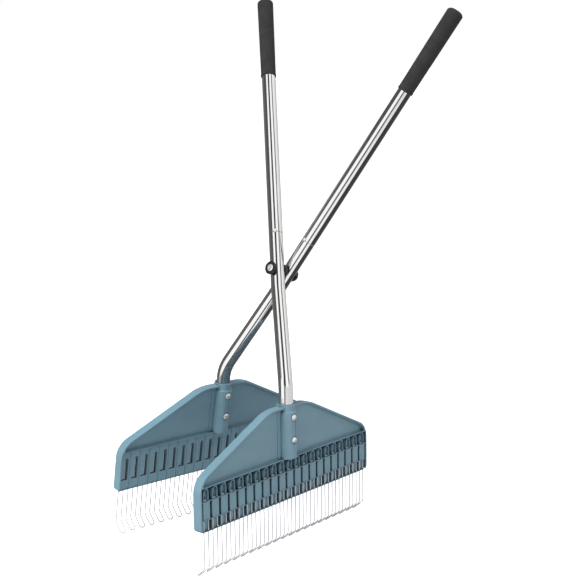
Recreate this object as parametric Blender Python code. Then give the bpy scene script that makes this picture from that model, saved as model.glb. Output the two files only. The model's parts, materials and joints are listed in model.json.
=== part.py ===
"""Leaf grabber: two crossing steel handles on a pivot bolt, each with a wide wire-tined head.

Metres, +Z up. The heads' width runs along X and the jaws open along Y. The hinge axis lies over
the heads and dips towards +X, and the handles stand square to it. Arm A carries the head on the
-Y side and arm B the one on the +Y side. The tool stands on its tine tips at Z = 0, below the
middle of its box.
"""
import math

import bmesh
import bpy
from mathutils import Matrix, Vector

# Fit between pieces that touch
CLEARANCE = 0.0003

# Handle tubes
TUBE_OD = 0.025
TUBE_WALL = 0.0012
TUBE_SIDES = 20
NECK_WALL = 0.0010
NECK_LENGTH = 0.050

# How each handle runs, from the grip down to the head
HINGE_TILT = math.radians(18.5)
UPPER_SPREAD = math.radians(23.2)
LOWER_SPREAD = math.radians(25.3)
OPEN_TURN = math.radians(11.5)
CLOSED_FLARE = math.radians(6.1)
PIVOT_TO_TUBE_TOP = 0.5285
PIVOT_TO_SEAM = 0.0675
PIVOT_TO_KNEE = 0.032
PIVOT_TO_BEND = 0.213
BEND_TO_HEAD_FOOT = 0.194
KNEE_RADIUS = 0.120
BEND_RADIUS = 0.070
TUBE_SPACING = 0.030

# Slip-on grips
GRIP_LENGTH = 0.159
GRIP_FOOT_OD = 0.0275
GRIP_TOP_OD = 0.0296
GRIP_DOME = 0.007
GRIP_LIP = 0.0012
GRIP_SIDES = 24

# Spring button that locks the two halves of a handle
BUTTON_OD = 0.0065
BUTTON_ABOVE_SEAM = 0.002
BUTTON_PROUD = 0.0026
BUTTON_TURN = {"a": math.radians(35.0), "b": math.radians(0.0)}
LEAF_WIDTH = 0.007
LEAF_THICKNESS = 0.0007
LEAF_LENGTH = 0.021
LEAF_SPREAD = 0.0115

# Pivot
BOLT_OD = 0.008
BOLT_HEAD_OD = 0.0130
BOLT_HEAD_HEIGHT = 0.0040
KNOB_OD = 0.0234
KNOB_RIM = 0.0040
KNOB_NECK_OD = 0.0170
KNOB_REACH = 0.0080
SPACER_OD = 0.0260
SPACER_STEP_OD = 0.0200
SPACER_STEP = 0.0032
CAP_OD = 0.0240
CAP_DOME = 0.0075
SADDLE_GRASP = 0.0050
PIVOT_SIDES = 24

# Moulded head
HEAD_WIDTH = 0.445
HEAD_THICKNESS = 0.017
HEAD_TOP = 0.164
CORNER_RADIUS = 0.008
SIDE_TOP = 0.0615
SHOULDER_RADIUS = 0.035
SHOULDER_SLOPE = math.radians(25.0)
CROWN_RADIUS = 0.090
RIM_WALL = 0.0035
WEB_THICKNESS = 0.003
INNER_RECESS = 0.007
ROW_TOP = 0.0725
ROW_WINDOW = 0.0502
ROW_CELL = 0.0202
RAIL = 0.0014
PLATE = 0.0065
ROW_RECESS = 0.0010
ROW_STEP = 0.0012
LIP_HEIGHT = 0.0012

# Boss that takes the tube
BOSS_OD = 0.036
BOSS_SHOULDER = 0.154
COLLAR_OD = 0.0318
COLLAR_RISE = 0.003
BOSS_FLANGE = 0.052
BOSS_FLANGE_THICKNESS = 0.005
SOCKET_FLOOR = 0.0035
BOSS_SIDES = 28

# Through screws of the boss
SCREW_OD = 0.0050
SCREW_HEAD_OD = 0.0112
SCREW_HEAD_HEIGHT = 0.0032
SCREW_HEIGHTS = (0.105, 0.1445)
SCREW_SEAT_OD = 0.0134
SCREW_SEAT_DEPTH = 0.0018
STRIP_WIDTH = 0.0090
STRIP_DEPTH = 0.0012

# Cells and wire tines
CELL_COUNT = 21
CELL_PITCH = 0.0208
CELL_WIDTH = 0.0132
CELL_GAP = 0.0051
SLOT_WIDTH = 0.0068
SLOT_TOP = 0.0600
ARCH_WIDTH = 0.0094
ARCH_TOP = 0.0700
WIRE_OD = 0.0019
WIRE_SIDES = 5
LEG_SPACING = 0.0104
TINE_STRAIGHT = 0.0605
HOOK_LENGTH = 0.024
HOOK_ANGLE = math.radians(49.0)
HOOK_BLEND = 0.0035

# Derived sizes
TUBE_R = TUBE_OD / 2
BORE_R = TUBE_R - TUBE_WALL
NECK_R = BORE_R - CLEARANCE
FIT_R = TUBE_R + CLEARANCE
BOLT_HOLE_R = BOLT_OD / 2 + CLEARANCE
SCREW_HOLE_R = SCREW_OD / 2 + CLEARANCE
WIRE_R = WIRE_OD / 2
OUTER_FACE = HEAD_THICKNESS / 2
INNER_FACE = -HEAD_THICKNESS / 2
WEB_INNER = INNER_FACE + INNER_RECESS
WEB_OUTER = WEB_INNER + WEB_THICKNESS
ROW_FRONT = OUTER_FACE - ROW_RECESS
ROW_INNER = WEB_INNER - ROW_STEP
PLATE_BACK = ROW_INNER + PLATE
WIRE_PLANE = PLATE_BACK + CLEARANCE + WIRE_R
ROW_SIDE = HEAD_WIDTH / 2 - RIM_WALL
SOCKET_TOP = HEAD_TOP + COLLAR_RISE
SOCKET_BOTTOM = ROW_TOP + SOCKET_FLOOR
SCREW_SEAT = BOSS_OD / 2 - SCREW_SEAT_DEPTH
ARMS = {"a": -1.0, "b": 1.0}

COLOURS = {
    "steel": ((0.62, 0.62, 0.61, 1.0), 0.22, 1.0),
    "chrome": ((0.80, 0.80, 0.80, 1.0), 0.10, 1.0),
    "wire": ((0.72, 0.72, 0.75, 1.0), 0.25, 1.0),
    "grip": ((0.035, 0.035, 0.037, 1.0), 0.75, 0.0),
    "black_plastic": ((0.015, 0.015, 0.017, 1.0), 0.40, 0.0),
    "head_plastic": ((0.105, 0.205, 0.255, 1.0), 0.45, 0.0),
}


def clear_scene():
    """Remove what a new file starts with."""
    for obj in list(bpy.data.objects):
        bpy.data.objects.remove(obj, do_unlink=True)


def material(name):
    """Return the named finish, made once."""
    found = bpy.data.materials.get(name)
    if found:
        return found
    colour, roughness, metallic = COLOURS[name]
    made = bpy.data.materials.new(name)
    made.use_nodes = True
    shader = made.node_tree.nodes["Principled BSDF"]
    shader.inputs["Base Color"].default_value = colour
    shader.inputs["Roughness"].default_value = roughness
    shader.inputs["Metallic"].default_value = metallic
    made.diffuse_color = colour
    return made


def make_object(name, bm, finish=None, parent=None, frame=None, smooth=True):
    """Turn a bmesh into an object placed by its frame under its parent."""
    bmesh.ops.recalc_face_normals(bm, faces=bm.faces)
    mesh = bpy.data.meshes.new(name)
    bm.to_mesh(mesh)
    bm.free()
    if smooth:
        mesh.shade_smooth()
        mesh.set_sharp_from_angle(angle=math.radians(35.0))
    obj = bpy.data.objects.new(name, mesh)
    bpy.context.collection.objects.link(obj)
    if finish:
        mesh.materials.append(material(finish))
    if parent:
        obj.parent = parent
    if frame:
        obj.matrix_local = frame
    return obj


def make_tool(name, bm, parent=None, frame=None):
    """Make a hidden shape that only cuts or joins another."""
    obj = make_object(name, bm, parent=parent, frame=frame, smooth=False)
    obj.hide_render = True
    obj.display_type = "WIRE"
    return obj


def combine(obj, tool, operation):
    """Cut the tool from the object, or join it on."""
    modifier = obj.modifiers.new(tool.name, "BOOLEAN")
    modifier.operation = operation
    modifier.solver = "EXACT"
    modifier.object = tool


def add_ring(bm, frame, radius, sides):
    """Add a circle of vertices square to the frame's Z axis."""
    ring = []
    for index in range(sides):
        angle = 2.0 * math.pi * index / sides
        offset = Vector((radius * math.cos(angle), radius * math.sin(angle), 0.0))
        ring.append(bm.verts.new(frame @ offset))
    return ring


def bridge(bm, first, second):
    """Join two rings of the same count with quads."""
    count = len(first)
    for index in range(count):
        after = (index + 1) % count
        bm.faces.new((first[index], first[after], second[after], second[index]))


def path_frames(points, first_side=None):
    """Frames along a path that turn as little as they can, Z along the path."""
    tangents = []
    for index, _ in enumerate(points):
        before = points[max(index - 1, 0)]
        after = points[min(index + 1, len(points) - 1)]
        tangents.append((after - before).normalized())
    side = first_side or min(Matrix.Identity(3), key=lambda axis: abs(axis.dot(tangents[0])))
    frames = []
    for point, tangent in zip(points, tangents):
        side = (side - tangent * side.dot(tangent)).normalized()
        other = tangent.cross(side)
        turn = Matrix((side, other, tangent)).transposed().to_4x4()
        frames.append(Matrix.Translation(point) @ turn)
    return frames


def add_sweep(bm, points, radii, sides):
    """Add a closed round bar along a path, one radius for each point."""
    rings = []
    for frame, radius in zip(path_frames(points), radii):
        rings.append(add_ring(bm, frame, radius, sides))
    for first, second in zip(rings, rings[1:]):
        bridge(bm, first, second)
    bm.faces.new(list(reversed(rings[0])))
    bm.faces.new(rings[-1])


def add_pipe(bm, points, outer, inner, sides):
    """Add an open-ended pipe along a path with its own outer and inner radii."""
    frames = path_frames(points)
    outside = [add_ring(bm, frame, radius, sides) for frame, radius in zip(frames, outer)]
    inside = [add_ring(bm, frame, radius, sides) for frame, radius in zip(frames, inner)]
    for rings in (outside, inside):
        for first, second in zip(rings, rings[1:]):
            bridge(bm, first, second)
    bridge(bm, outside[0], inside[0])
    bridge(bm, outside[-1], inside[-1])


def add_turned(bm, profile, sides, frame=None):
    """Add a solid turned about Z from (radius, height) pairs, a zero radius closing an end."""
    frame = frame or Matrix.Identity(4)
    rings = []
    for radius, height in profile:
        level = frame @ Matrix.Translation((0.0, 0.0, height))
        if radius == 0.0:
            rings.append([bm.verts.new(level.translation)])
        else:
            rings.append(add_ring(bm, level, radius, sides))
    for first, second in zip(rings, rings[1:]):
        if len(first) == 1 or len(second) == 1:
            tip, ring = (first[0], second) if len(first) == 1 else (second[0], first)
            for index in range(len(ring)):
                bm.faces.new((tip, ring[index], ring[(index + 1) % len(ring)]))
        else:
            bridge(bm, first, second)
    for ring in (rings[0], rings[-1]):
        if len(ring) > 1:
            bm.faces.new(ring)


def add_rod(bm, start, end, radius, sides):
    """Add a closed straight cylinder from start to end."""
    add_sweep(bm, [Vector(start), Vector(end)], [radius, radius], sides)


def add_prism(bm, outline, low, high):
    """Add an outline of (across, up) points extruded from one depth to another.

    Depth is measured outwards from the middle of the head, which is -Y in its own frame.
    """
    rings = []
    for depth in (low, high):
        rings.append([bm.verts.new((across, -depth, up)) for across, up in outline])
    bridge(bm, rings[0], rings[1])
    bm.faces.new(rings[0])
    bm.faces.new(rings[1])


def add_block(bm, across, up, depth):
    """Add a box from its (low, high) ranges across, up and in depth."""
    outline = [(across[0], up[0]), (across[1], up[0]), (across[1], up[1]), (across[0], up[1])]
    add_prism(bm, outline, depth[0], depth[1])


def arc(centre, radius, start, end, steps):
    """Points on an arc in a plane, both ends included."""
    points = []
    for index in range(steps + 1):
        angle = start + (end - start) * index / steps
        points.append((centre[0] + radius * math.cos(angle), centre[1] + radius * math.sin(angle)))
    return points


def rounded_corner(before, corner, after, radius, steps):
    """Points of the arc that rounds a corner between two straight runs."""
    arriving = (corner - before).normalized()
    leaving = (after - corner).normalized()
    turn = arriving.angle(leaving)
    reach = radius * math.tan(turn / 2)
    start = corner - arriving * reach
    middle = (leaving - arriving).normalized()
    centre = corner + middle * (radius / math.cos(turn / 2))
    axis = arriving.cross(leaving).normalized()
    points = []
    for index in range(steps + 1):
        spin = Matrix.Rotation(turn * index / steps, 3, axis)
        points.append(centre + spin @ (start - centre))
    return points


class ArmFrame:
    """Where one handle's axis runs, in the hinge's own frame.

    That frame has its X along the bolt and its zero at the middle of the hinge. The handles stand
    square to the bolt. The head is square to the ground where the jaws meet, and is turned from
    there with its arm.
    """

    def __init__(self, letter):
        self.letter = letter
        self.side = ARMS[letter]
        self.pivot = Vector((self.side * TUBE_SPACING / 2, 0.0, 0.0))
        self.upper = self.direction(UPPER_SPREAD)
        self.lower = self.direction(LOWER_SPREAD)
        self.entry = self.head_turn() @ Vector((0.0, 0.0, 1.0))
        self.knee = self.pivot - self.upper * PIVOT_TO_KNEE
        self.bend = self.knee - self.lower * (PIVOT_TO_BEND - PIVOT_TO_KNEE)
        self.foot = self.bend - self.entry * BEND_TO_HEAD_FOOT

    def direction(self, spread):
        """Upward direction at an angle from the upright, square to the bolt."""
        return Vector((0.0, -self.side * math.sin(spread), math.cos(spread)))

    def head_turn(self):
        """Turn of the head: X along its width, Y into the jaw, Z up the boss."""
        opened = Matrix.Rotation(self.side * OPEN_TURN, 3, "X")
        level = Matrix.Rotation(-HINGE_TILT, 3, "Y")
        facing = Matrix.Rotation(0.0 if self.side < 0 else math.pi, 3, "Z")
        return opened @ level @ facing @ Matrix.Rotation(CLOSED_FLARE, 3, "X")

    def head_frame(self):
        """Frame of the head, with its foot's middle as zero."""
        return Matrix.Translation(self.foot) @ self.head_turn().to_4x4()

    def button_frame(self):
        """Frame of the snap button: X points out of the tube, Z along it."""
        seat = self.pivot + self.upper * (PIVOT_TO_SEAM + BUTTON_ABOVE_SEAM)
        turn = BUTTON_TURN[self.letter]
        facing = Vector((-math.cos(turn), -math.sin(turn), 0.0))
        out = (facing - self.upper * facing.dot(self.upper)).normalized()
        basis = Matrix((out, self.upper.cross(out), self.upper)).transposed().to_4x4()
        return Matrix.Translation(seat) @ basis


def hinge_place():
    """Middle of the hinge, above the ground and over the middle between the heads."""
    tilt = Matrix.Rotation(HINGE_TILT, 4, "Y")
    across = []
    heights = []
    for letter in ARMS:
        frame = tilt @ ArmFrame(letter).head_frame()
        for depth in (INNER_FACE, OUTER_FACE):
            across += [(frame @ Vector((out, -depth, up))).x for out, up in head_outline()]
        tip = Vector(hairpin_tip())
        heights += [(frame @ (tip + Vector((centre, 0.0, 0.0)))).z for centre in cell_centres()]
    return Vector((-(min(across) + max(across)) / 2, 0.0, WIRE_R - min(heights)))


def hairpin_tip():
    """Lowest point of a tine's centre line in the head's frame."""
    drop = TINE_STRAIGHT + HOOK_LENGTH * math.cos(HOOK_ANGLE)
    depth = -WIRE_PLANE + HOOK_LENGTH * math.sin(HOOK_ANGLE)
    return (0.0, depth, -drop)


def build_upper_tube(arm, parent):
    """Plain tube from the seam up into the grip, notched for the button."""
    bm = bmesh.new()
    ends = [arm.pivot + arm.upper * (PIVOT_TO_SEAM + CLEARANCE)]
    ends.append(arm.pivot + arm.upper * PIVOT_TO_TUBE_TOP)
    add_pipe(bm, ends, [TUBE_R] * 2, [BORE_R] * 2, TUBE_SIDES)
    tube = make_object("upper_tube_" + arm.letter, bm, "steel", parent)
    combine(tube, build_button_drill(arm, "upper", parent), "DIFFERENCE")
    return tube


def build_button_drill(arm, which, parent):
    """Drill for the button's hole, through one wall only."""
    bm = bmesh.new()
    start = (NECK_R * 0.5, 0.0, 0.0)
    end = (TUBE_R * 1.5, 0.0, 0.0)
    add_rod(bm, start, end, BUTTON_OD / 2 + CLEARANCE, 12)
    name = "button_drill_" + which + "_" + arm.letter
    return make_tool(name, bm, parent, arm.button_frame())


def lower_tube_path(arm):
    """Stations of the lower tube from the top of its neck to its end in the boss."""
    seam = arm.pivot + arm.upper * PIVOT_TO_SEAM
    top = seam + arm.upper * NECK_LENGTH
    under_shoulder = seam - arm.upper * (3 * TUBE_WALL)
    end = arm.foot + arm.entry * (SOCKET_BOTTOM + CLEARANCE)
    knee = rounded_corner(seam, arm.knee, arm.bend, KNEE_RADIUS, 1)
    bend = rounded_corner(arm.knee, arm.bend, arm.foot, BEND_RADIUS, 4)
    points = [top, seam, seam, under_shoulder] + knee + bend + [end]
    outer = [NECK_R] * 2 + [TUBE_R] * (len(points) - 2)
    inner = [NECK_R - NECK_WALL] * 3 + [BORE_R] * (len(points) - 3)
    return points, outer, inner


def build_lower_tube(arm, parent):
    """Bent tube with a drawn-down neck, drilled for the pivot bolt and the head screws."""
    points, outer, inner = lower_tube_path(arm)
    bm = bmesh.new()
    frames = path_frames_of_tube(points)
    outside = [add_ring(bm, frame, radius, TUBE_SIDES) for frame, radius in zip(frames, outer)]
    keep = [index for index in range(len(points)) if index != 1]
    inside = [add_ring(bm, frames[index], inner[index], TUBE_SIDES) for index in keep]
    for rings in (outside, inside):
        for first, second in zip(rings, rings[1:]):
            bridge(bm, first, second)
    bridge(bm, outside[0], inside[0])
    bridge(bm, outside[-1], inside[-1])
    tube = make_object("lower_tube_" + arm.letter, bm, "steel", parent)
    combine(tube, build_button_drill(arm, "lower", parent), "DIFFERENCE")
    drills = bmesh.new()
    reach = Vector((TUBE_OD, 0.0, 0.0))
    add_rod(drills, arm.pivot - reach, arm.pivot + reach, BOLT_HOLE_R, 16)
    frame = arm.head_frame()
    for height in SCREW_HEIGHTS:
        ends = [frame @ Vector((0.0, sign * TUBE_OD, height)) for sign in (-1.0, 1.0)]
        add_rod(drills, ends[0], ends[1], SCREW_HOLE_R, 10)
    drill = make_tool("tube_drills_" + arm.letter, drills, parent)
    combine(tube, drill, "DIFFERENCE")
    return tube


def path_frames_of_tube(points):
    """Frames of the lower tube's stations, where two share the seam's place."""
    spread = list(points)
    spread[1] = points[1] + (points[0] - points[1]) * 0.001
    frames = path_frames(spread)
    frames[1] = Matrix.Translation(points[1] - spread[1]) @ frames[1]
    frames[2] = Matrix.Translation(points[2]) @ frames[1].to_3x3().to_4x4()
    return frames


def build_grip(arm, parent):
    """Slip-on grip with a domed closed top."""
    foot = GRIP_FOOT_OD / 2
    crown = GRIP_TOP_OD / 2
    bore_top = GRIP_LENGTH - GRIP_DOME
    profile = [(FIT_R, 0.0), (foot + GRIP_LIP * 0.4, 0.0), (foot + GRIP_LIP * 0.4, 3 * GRIP_LIP)]
    profile += [(foot, 4 * GRIP_LIP), (crown, GRIP_LENGTH - GRIP_DOME)]
    for up, out in arc((0.0, 0.0), 1.0, math.radians(30), math.radians(80), 2):
        profile.append((crown * (0.25 + 0.75 * up), GRIP_LENGTH - GRIP_DOME * (1 - out)))
    profile += [(0.0, GRIP_LENGTH - GRIP_DOME * 0.25)]
    outline = [(0.0, bore_top), (FIT_R, bore_top)] + profile
    bm = bmesh.new()
    base = arm.pivot + arm.upper * (PIVOT_TO_TUBE_TOP + CLEARANCE - bore_top)
    frame = Matrix.Translation(base) @ Vector((0, 0, 1)).rotation_difference(arm.upper).to_matrix().to_4x4()
    add_turned(bm, outline, GRIP_SIDES, frame)
    return make_object("grip_" + arm.letter, bm, "grip", parent)


def build_snap_clip(arm, parent):
    """Spring button on its folded leaf, sprung out through both tubes."""
    frame = arm.button_frame()
    seat = NECK_R - NECK_WALL - LEAF_THICKNESS * 2
    fold = LEAF_SPREAD * 0.35
    path = [(seat, BUTTON_OD * 0.8), (seat, -LEAF_LENGTH * 0.8), (seat - fold * 0.3, -LEAF_LENGTH * 0.95)]
    path += [(seat - fold, -LEAF_LENGTH), (seat - fold * 1.7, -LEAF_LENGTH * 0.93)]
    path += [(seat - LEAF_SPREAD, BUTTON_OD * 0.5)]
    bm = bmesh.new()
    points = [Vector((out, 0.0, along)) for out, along in path]
    rings = []
    for station in path_frames(points, Vector((0.0, 1.0, 0.0))):
        half = (LEAF_WIDTH / 2, LEAF_THICKNESS / 2)
        corners = ((-1, -1), (1, -1), (1, 1), (-1, 1))
        rings.append([bm.verts.new(station @ Vector((a * half[0], b * half[1], 0.0))) for a, b in corners])
    for first, second in zip(rings, rings[1:]):
        bridge(bm, first, second)
    bm.faces.new(rings[0])
    bm.faces.new(rings[-1])
    clip = make_object("snap_clip_" + arm.letter, bm, "chrome", parent, frame)
    button = bmesh.new()
    top = TUBE_R + BUTTON_PROUD
    radius = BUTTON_OD / 2
    profile = [(radius, seat), (radius, top - radius * 0.5), (radius * 0.72, top - radius * 0.12), (0.0, top)]
    along_x = Matrix.Rotation(math.radians(90.0), 4, "Y")
    add_turned(button, profile, 12, along_x)
    combine(clip, make_tool("button_" + arm.letter, button, parent, frame), "UNION")
    return clip


def build_pivot_bolt(parent):
    """Bolt along the hinge axis with a domed bright head at its raised end."""
    head = BOLT_HEAD_OD / 2
    front = knob_front() - (BOLT_HEAD_HEIGHT - KNOB_RIM + CLEARANCE)
    seat = front + BOLT_HEAD_HEIGHT
    end = cap_inner_end() - CLEARANCE
    profile = [(0.0, front), (head * 0.62, front + head * 0.06), (head * 0.93, front + head * 0.2)]
    profile += [(head, front + head * 0.36), (head, seat), (BOLT_OD / 2, seat)]
    profile += [(BOLT_OD / 2, end - BOLT_OD * 0.1), (BOLT_OD * 0.4, end)]
    bm = bmesh.new()
    add_turned(bm, profile, 20, Matrix.Rotation(math.radians(90.0), 4, "Y"))
    return make_object("pivot_bolt", bm, "chrome", parent)


def knob_front():
    """Outer face of the knob along the hinge axis."""
    return -(TUBE_SPACING / 2 + TUBE_R + KNOB_REACH)


def cap_inner_end():
    """End of the blind hole in the far cap along the hinge axis."""
    return TUBE_SPACING / 2 + TUBE_R + CAP_DOME * 0.5


def saddle_tool(name, arm, parent):
    """Cutter that leaves a saddle for one tube."""
    bm = bmesh.new()
    ends = [arm.pivot - arm.upper * TUBE_OD * 1.2, arm.pivot + arm.upper * TUBE_OD * 1.2]
    add_rod(bm, ends[0], ends[1], FIT_R, TUBE_SIDES)
    return make_tool(name, bm, parent)


def bore_tool(name, parent):
    """Cutter for the hole that the pivot bolt runs in."""
    bm = bmesh.new()
    add_rod(bm, (-2 * TUBE_SPACING, 0.0, 0.0), (cap_inner_end(), 0.0, 0.0), BOLT_HOLE_R, 16)
    return make_tool(name, bm, parent)


def build_knob(arm, parent):
    """Round knob seated on tube A, with a well for the bolt's head."""
    front = knob_front()
    neck = KNOB_NECK_OD / 2
    rim = KNOB_OD / 2
    back = arm.pivot.x - TUBE_R + SADDLE_GRASP
    well = BOLT_HEAD_OD / 2 + CLEARANCE
    profile = [(0.0, front + KNOB_RIM), (well, front + KNOB_RIM), (well, front)]
    profile += [(rim * 0.93, front), (rim, front + KNOB_RIM * 0.3), (rim, front + KNOB_RIM)]
    profile += [(neck, front + KNOB_RIM * 1.25), (neck, back), (0.0, back)]
    bm = bmesh.new()
    add_turned(bm, profile, PIVOT_SIDES, Matrix.Rotation(math.radians(90.0), 4, "Y"))
    knob = make_object("pivot_knob", bm, "black_plastic", parent)
    combine(knob, saddle_tool("knob_saddle", arm, parent), "DIFFERENCE")
    combine(knob, bore_tool("knob_bore", parent), "DIFFERENCE")
    return knob


def build_spacer(arm, parent):
    """Stepped spacer between the tubes, hollowed for tube A."""
    outer = SPACER_OD / 2
    step = SPACER_STEP_OD / 2
    start = arm.pivot.x + TUBE_R - SADDLE_GRASP
    face = TUBE_SPACING / 2 - TUBE_R - CLEARANCE
    ledge = face - SPACER_STEP
    profile = [(0.0, start), (outer, start), (outer, ledge - SPACER_STEP * 0.2)]
    profile += [(outer * 0.94, ledge), (step, ledge), (step, face), (0.0, face)]
    bm = bmesh.new()
    add_turned(bm, profile, PIVOT_SIDES, Matrix.Rotation(math.radians(90.0), 4, "Y"))
    spacer = make_object("pivot_spacer", bm, "black_plastic", parent)
    combine(spacer, saddle_tool("spacer_saddle", arm, parent), "DIFFERENCE")
    combine(spacer, bore_tool("spacer_bore", parent), "DIFFERENCE")
    return spacer


def build_cap(arm, parent):
    """Half-dome cap seated on tube B over the bolt's end."""
    outer = CAP_OD / 2
    start = arm.pivot.x + TUBE_R - SADDLE_GRASP
    edge = arm.pivot.x + TUBE_R
    profile = [(0.0, start), (outer, start), (outer, edge)]
    for out, up in arc((0.0, 0.0), 1.0, math.radians(22.5), math.radians(67.5), 2):
        profile.append((outer * out, edge + CAP_DOME * up))
    profile.append((0.0, edge + CAP_DOME))
    bm = bmesh.new()
    add_turned(bm, profile, PIVOT_SIDES, Matrix.Rotation(math.radians(90.0), 4, "Y"))
    cap = make_object("pivot_cap", bm, "black_plastic", parent)
    combine(cap, saddle_tool("cap_saddle", arm, parent), "DIFFERENCE")
    combine(cap, bore_tool("cap_bore", parent), "DIFFERENCE")
    return cap


def head_outline():
    """Outline of the head across and up, bottom left corner first."""
    half = HEAD_WIDTH / 2
    quarter = math.pi / 2
    low = arc((half - CORNER_RADIUS, CORNER_RADIUS), CORNER_RADIUS, -quarter, 0.0, 3)
    centre = (half - SHOULDER_RADIUS, SIDE_TOP)
    shoulder = arc(centre, SHOULDER_RADIUS, 0.0, quarter - SHOULDER_SLOPE, 5)
    rise = HEAD_TOP - CROWN_RADIUS * (1 - math.cos(SHOULDER_SLOPE)) - shoulder[-1][1]
    crown_x = shoulder[-1][0] - rise / math.tan(SHOULDER_SLOPE) - CROWN_RADIUS * math.sin(SHOULDER_SLOPE)
    crown = arc((crown_x, HEAD_TOP - CROWN_RADIUS), CROWN_RADIUS, quarter - SHOULDER_SLOPE, quarter, 4)
    right = low + shoulder + crown
    return right + [(-across, up) for across, up in reversed(right)]


def inset_outline(outline, distance, floor):
    """Move every side of a convex outline inwards, and stop at a level floor."""
    lines = []
    for index, start in enumerate(outline):
        end = outline[(index + 1) % len(outline)]
        run = Vector((end[0] - start[0], end[1] - start[1]))
        if run.length < 1e-6:
            continue
        run.normalize()
        inwards = Vector((-run.y, run.x))
        lines.append((Vector(start) + inwards * distance, run))
    points = []
    for index, (start, run) in enumerate(lines):
        before, earlier = lines[index - 1]
        cross = earlier.x * run.y - earlier.y * run.x
        if abs(cross) < 1e-9:
            continue
        gap = start - before
        along = (gap.x * run.y - gap.y * run.x) / cross
        points.append(before + earlier * along)
    above = [point for point in points if point.y > floor]
    right = max(point.x for point in above)
    return [(-right, floor), (right, floor)] + [(point.x, point.y) for point in above]


def cell_centres():
    """Middle of each cell across the head."""
    first = -(CELL_COUNT - 1) / 2 * CELL_PITCH
    return [first + index * CELL_PITCH for index in range(CELL_COUNT)]


def slot_edges():
    """Where the slot beside a leg starts and ends, from the middle of its cell."""
    start = -LEG_SPACING / 2 - WIRE_R - CLEARANCE
    return start, start + SLOT_WIDTH


def add_cell_pockets(bm):
    """Cells, arched windows and the deep gaps between them, open to the outer face."""
    beyond = OUTER_FACE + RAIL
    depth = (PLATE_BACK, beyond)
    half = CELL_WIDTH / 2
    start = slot_edges()[0]
    below = -RAIL
    for centre in cell_centres():
        add_block(bm, (centre - half, centre + half), (below, ROW_CELL - RAIL / 2), depth)
        left = centre + start
        radius = ARCH_WIDTH / 2
        crown = arc((left + radius, ARCH_TOP - radius), radius, 0.0, math.pi, 5)
        window = [(left, ROW_WINDOW + RAIL / 2), (left + ARCH_WIDTH, ROW_WINDOW + RAIL / 2)] + crown
        add_prism(bm, window, depth[0], depth[1])
    gaps = [centre + CELL_PITCH / 2 for centre in cell_centres()[:-1]]
    spans = [(middle - CELL_GAP / 2, middle + CELL_GAP / 2) for middle in gaps]
    last = cell_centres()[-1] + (CELL_PITCH - CELL_GAP) / 2
    side = ROW_SIDE - CLEARANCE
    if last < side:
        spans += [(last, side), (-side, -last)]
    for across in spans:
        add_block(bm, across, (below, ROW_CELL - RAIL / 2), depth)
        add_block(bm, across, (ROW_CELL + RAIL / 2, ROW_WINDOW - RAIL / 2), depth)
        add_block(bm, across, (ROW_WINDOW + RAIL / 2, ROW_TOP - RAIL / 2), depth)


def add_wire_slots(bm):
    """L-shaped slots in the inner face that show each wire and its foot."""
    start, end = slot_edges()
    foot_low = ROW_CELL - WIRE_R - CLEARANCE
    foot_high = ROW_CELL + WIRE_R + CLEARANCE
    far = LEG_SPACING / 2 + WIRE_R + CLEARANCE
    depth = (INNER_FACE - RAIL, WIRE_PLANE + WIRE_R + CLEARANCE)
    for centre in cell_centres():
        outline = [(start, foot_low), (far, foot_low), (far, foot_high), (end, foot_high)]
        outline += [(end, SLOT_TOP), (start, SLOT_TOP)]
        add_prism(bm, [(centre + across, up) for across, up in outline], depth[0], depth[1])


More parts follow.
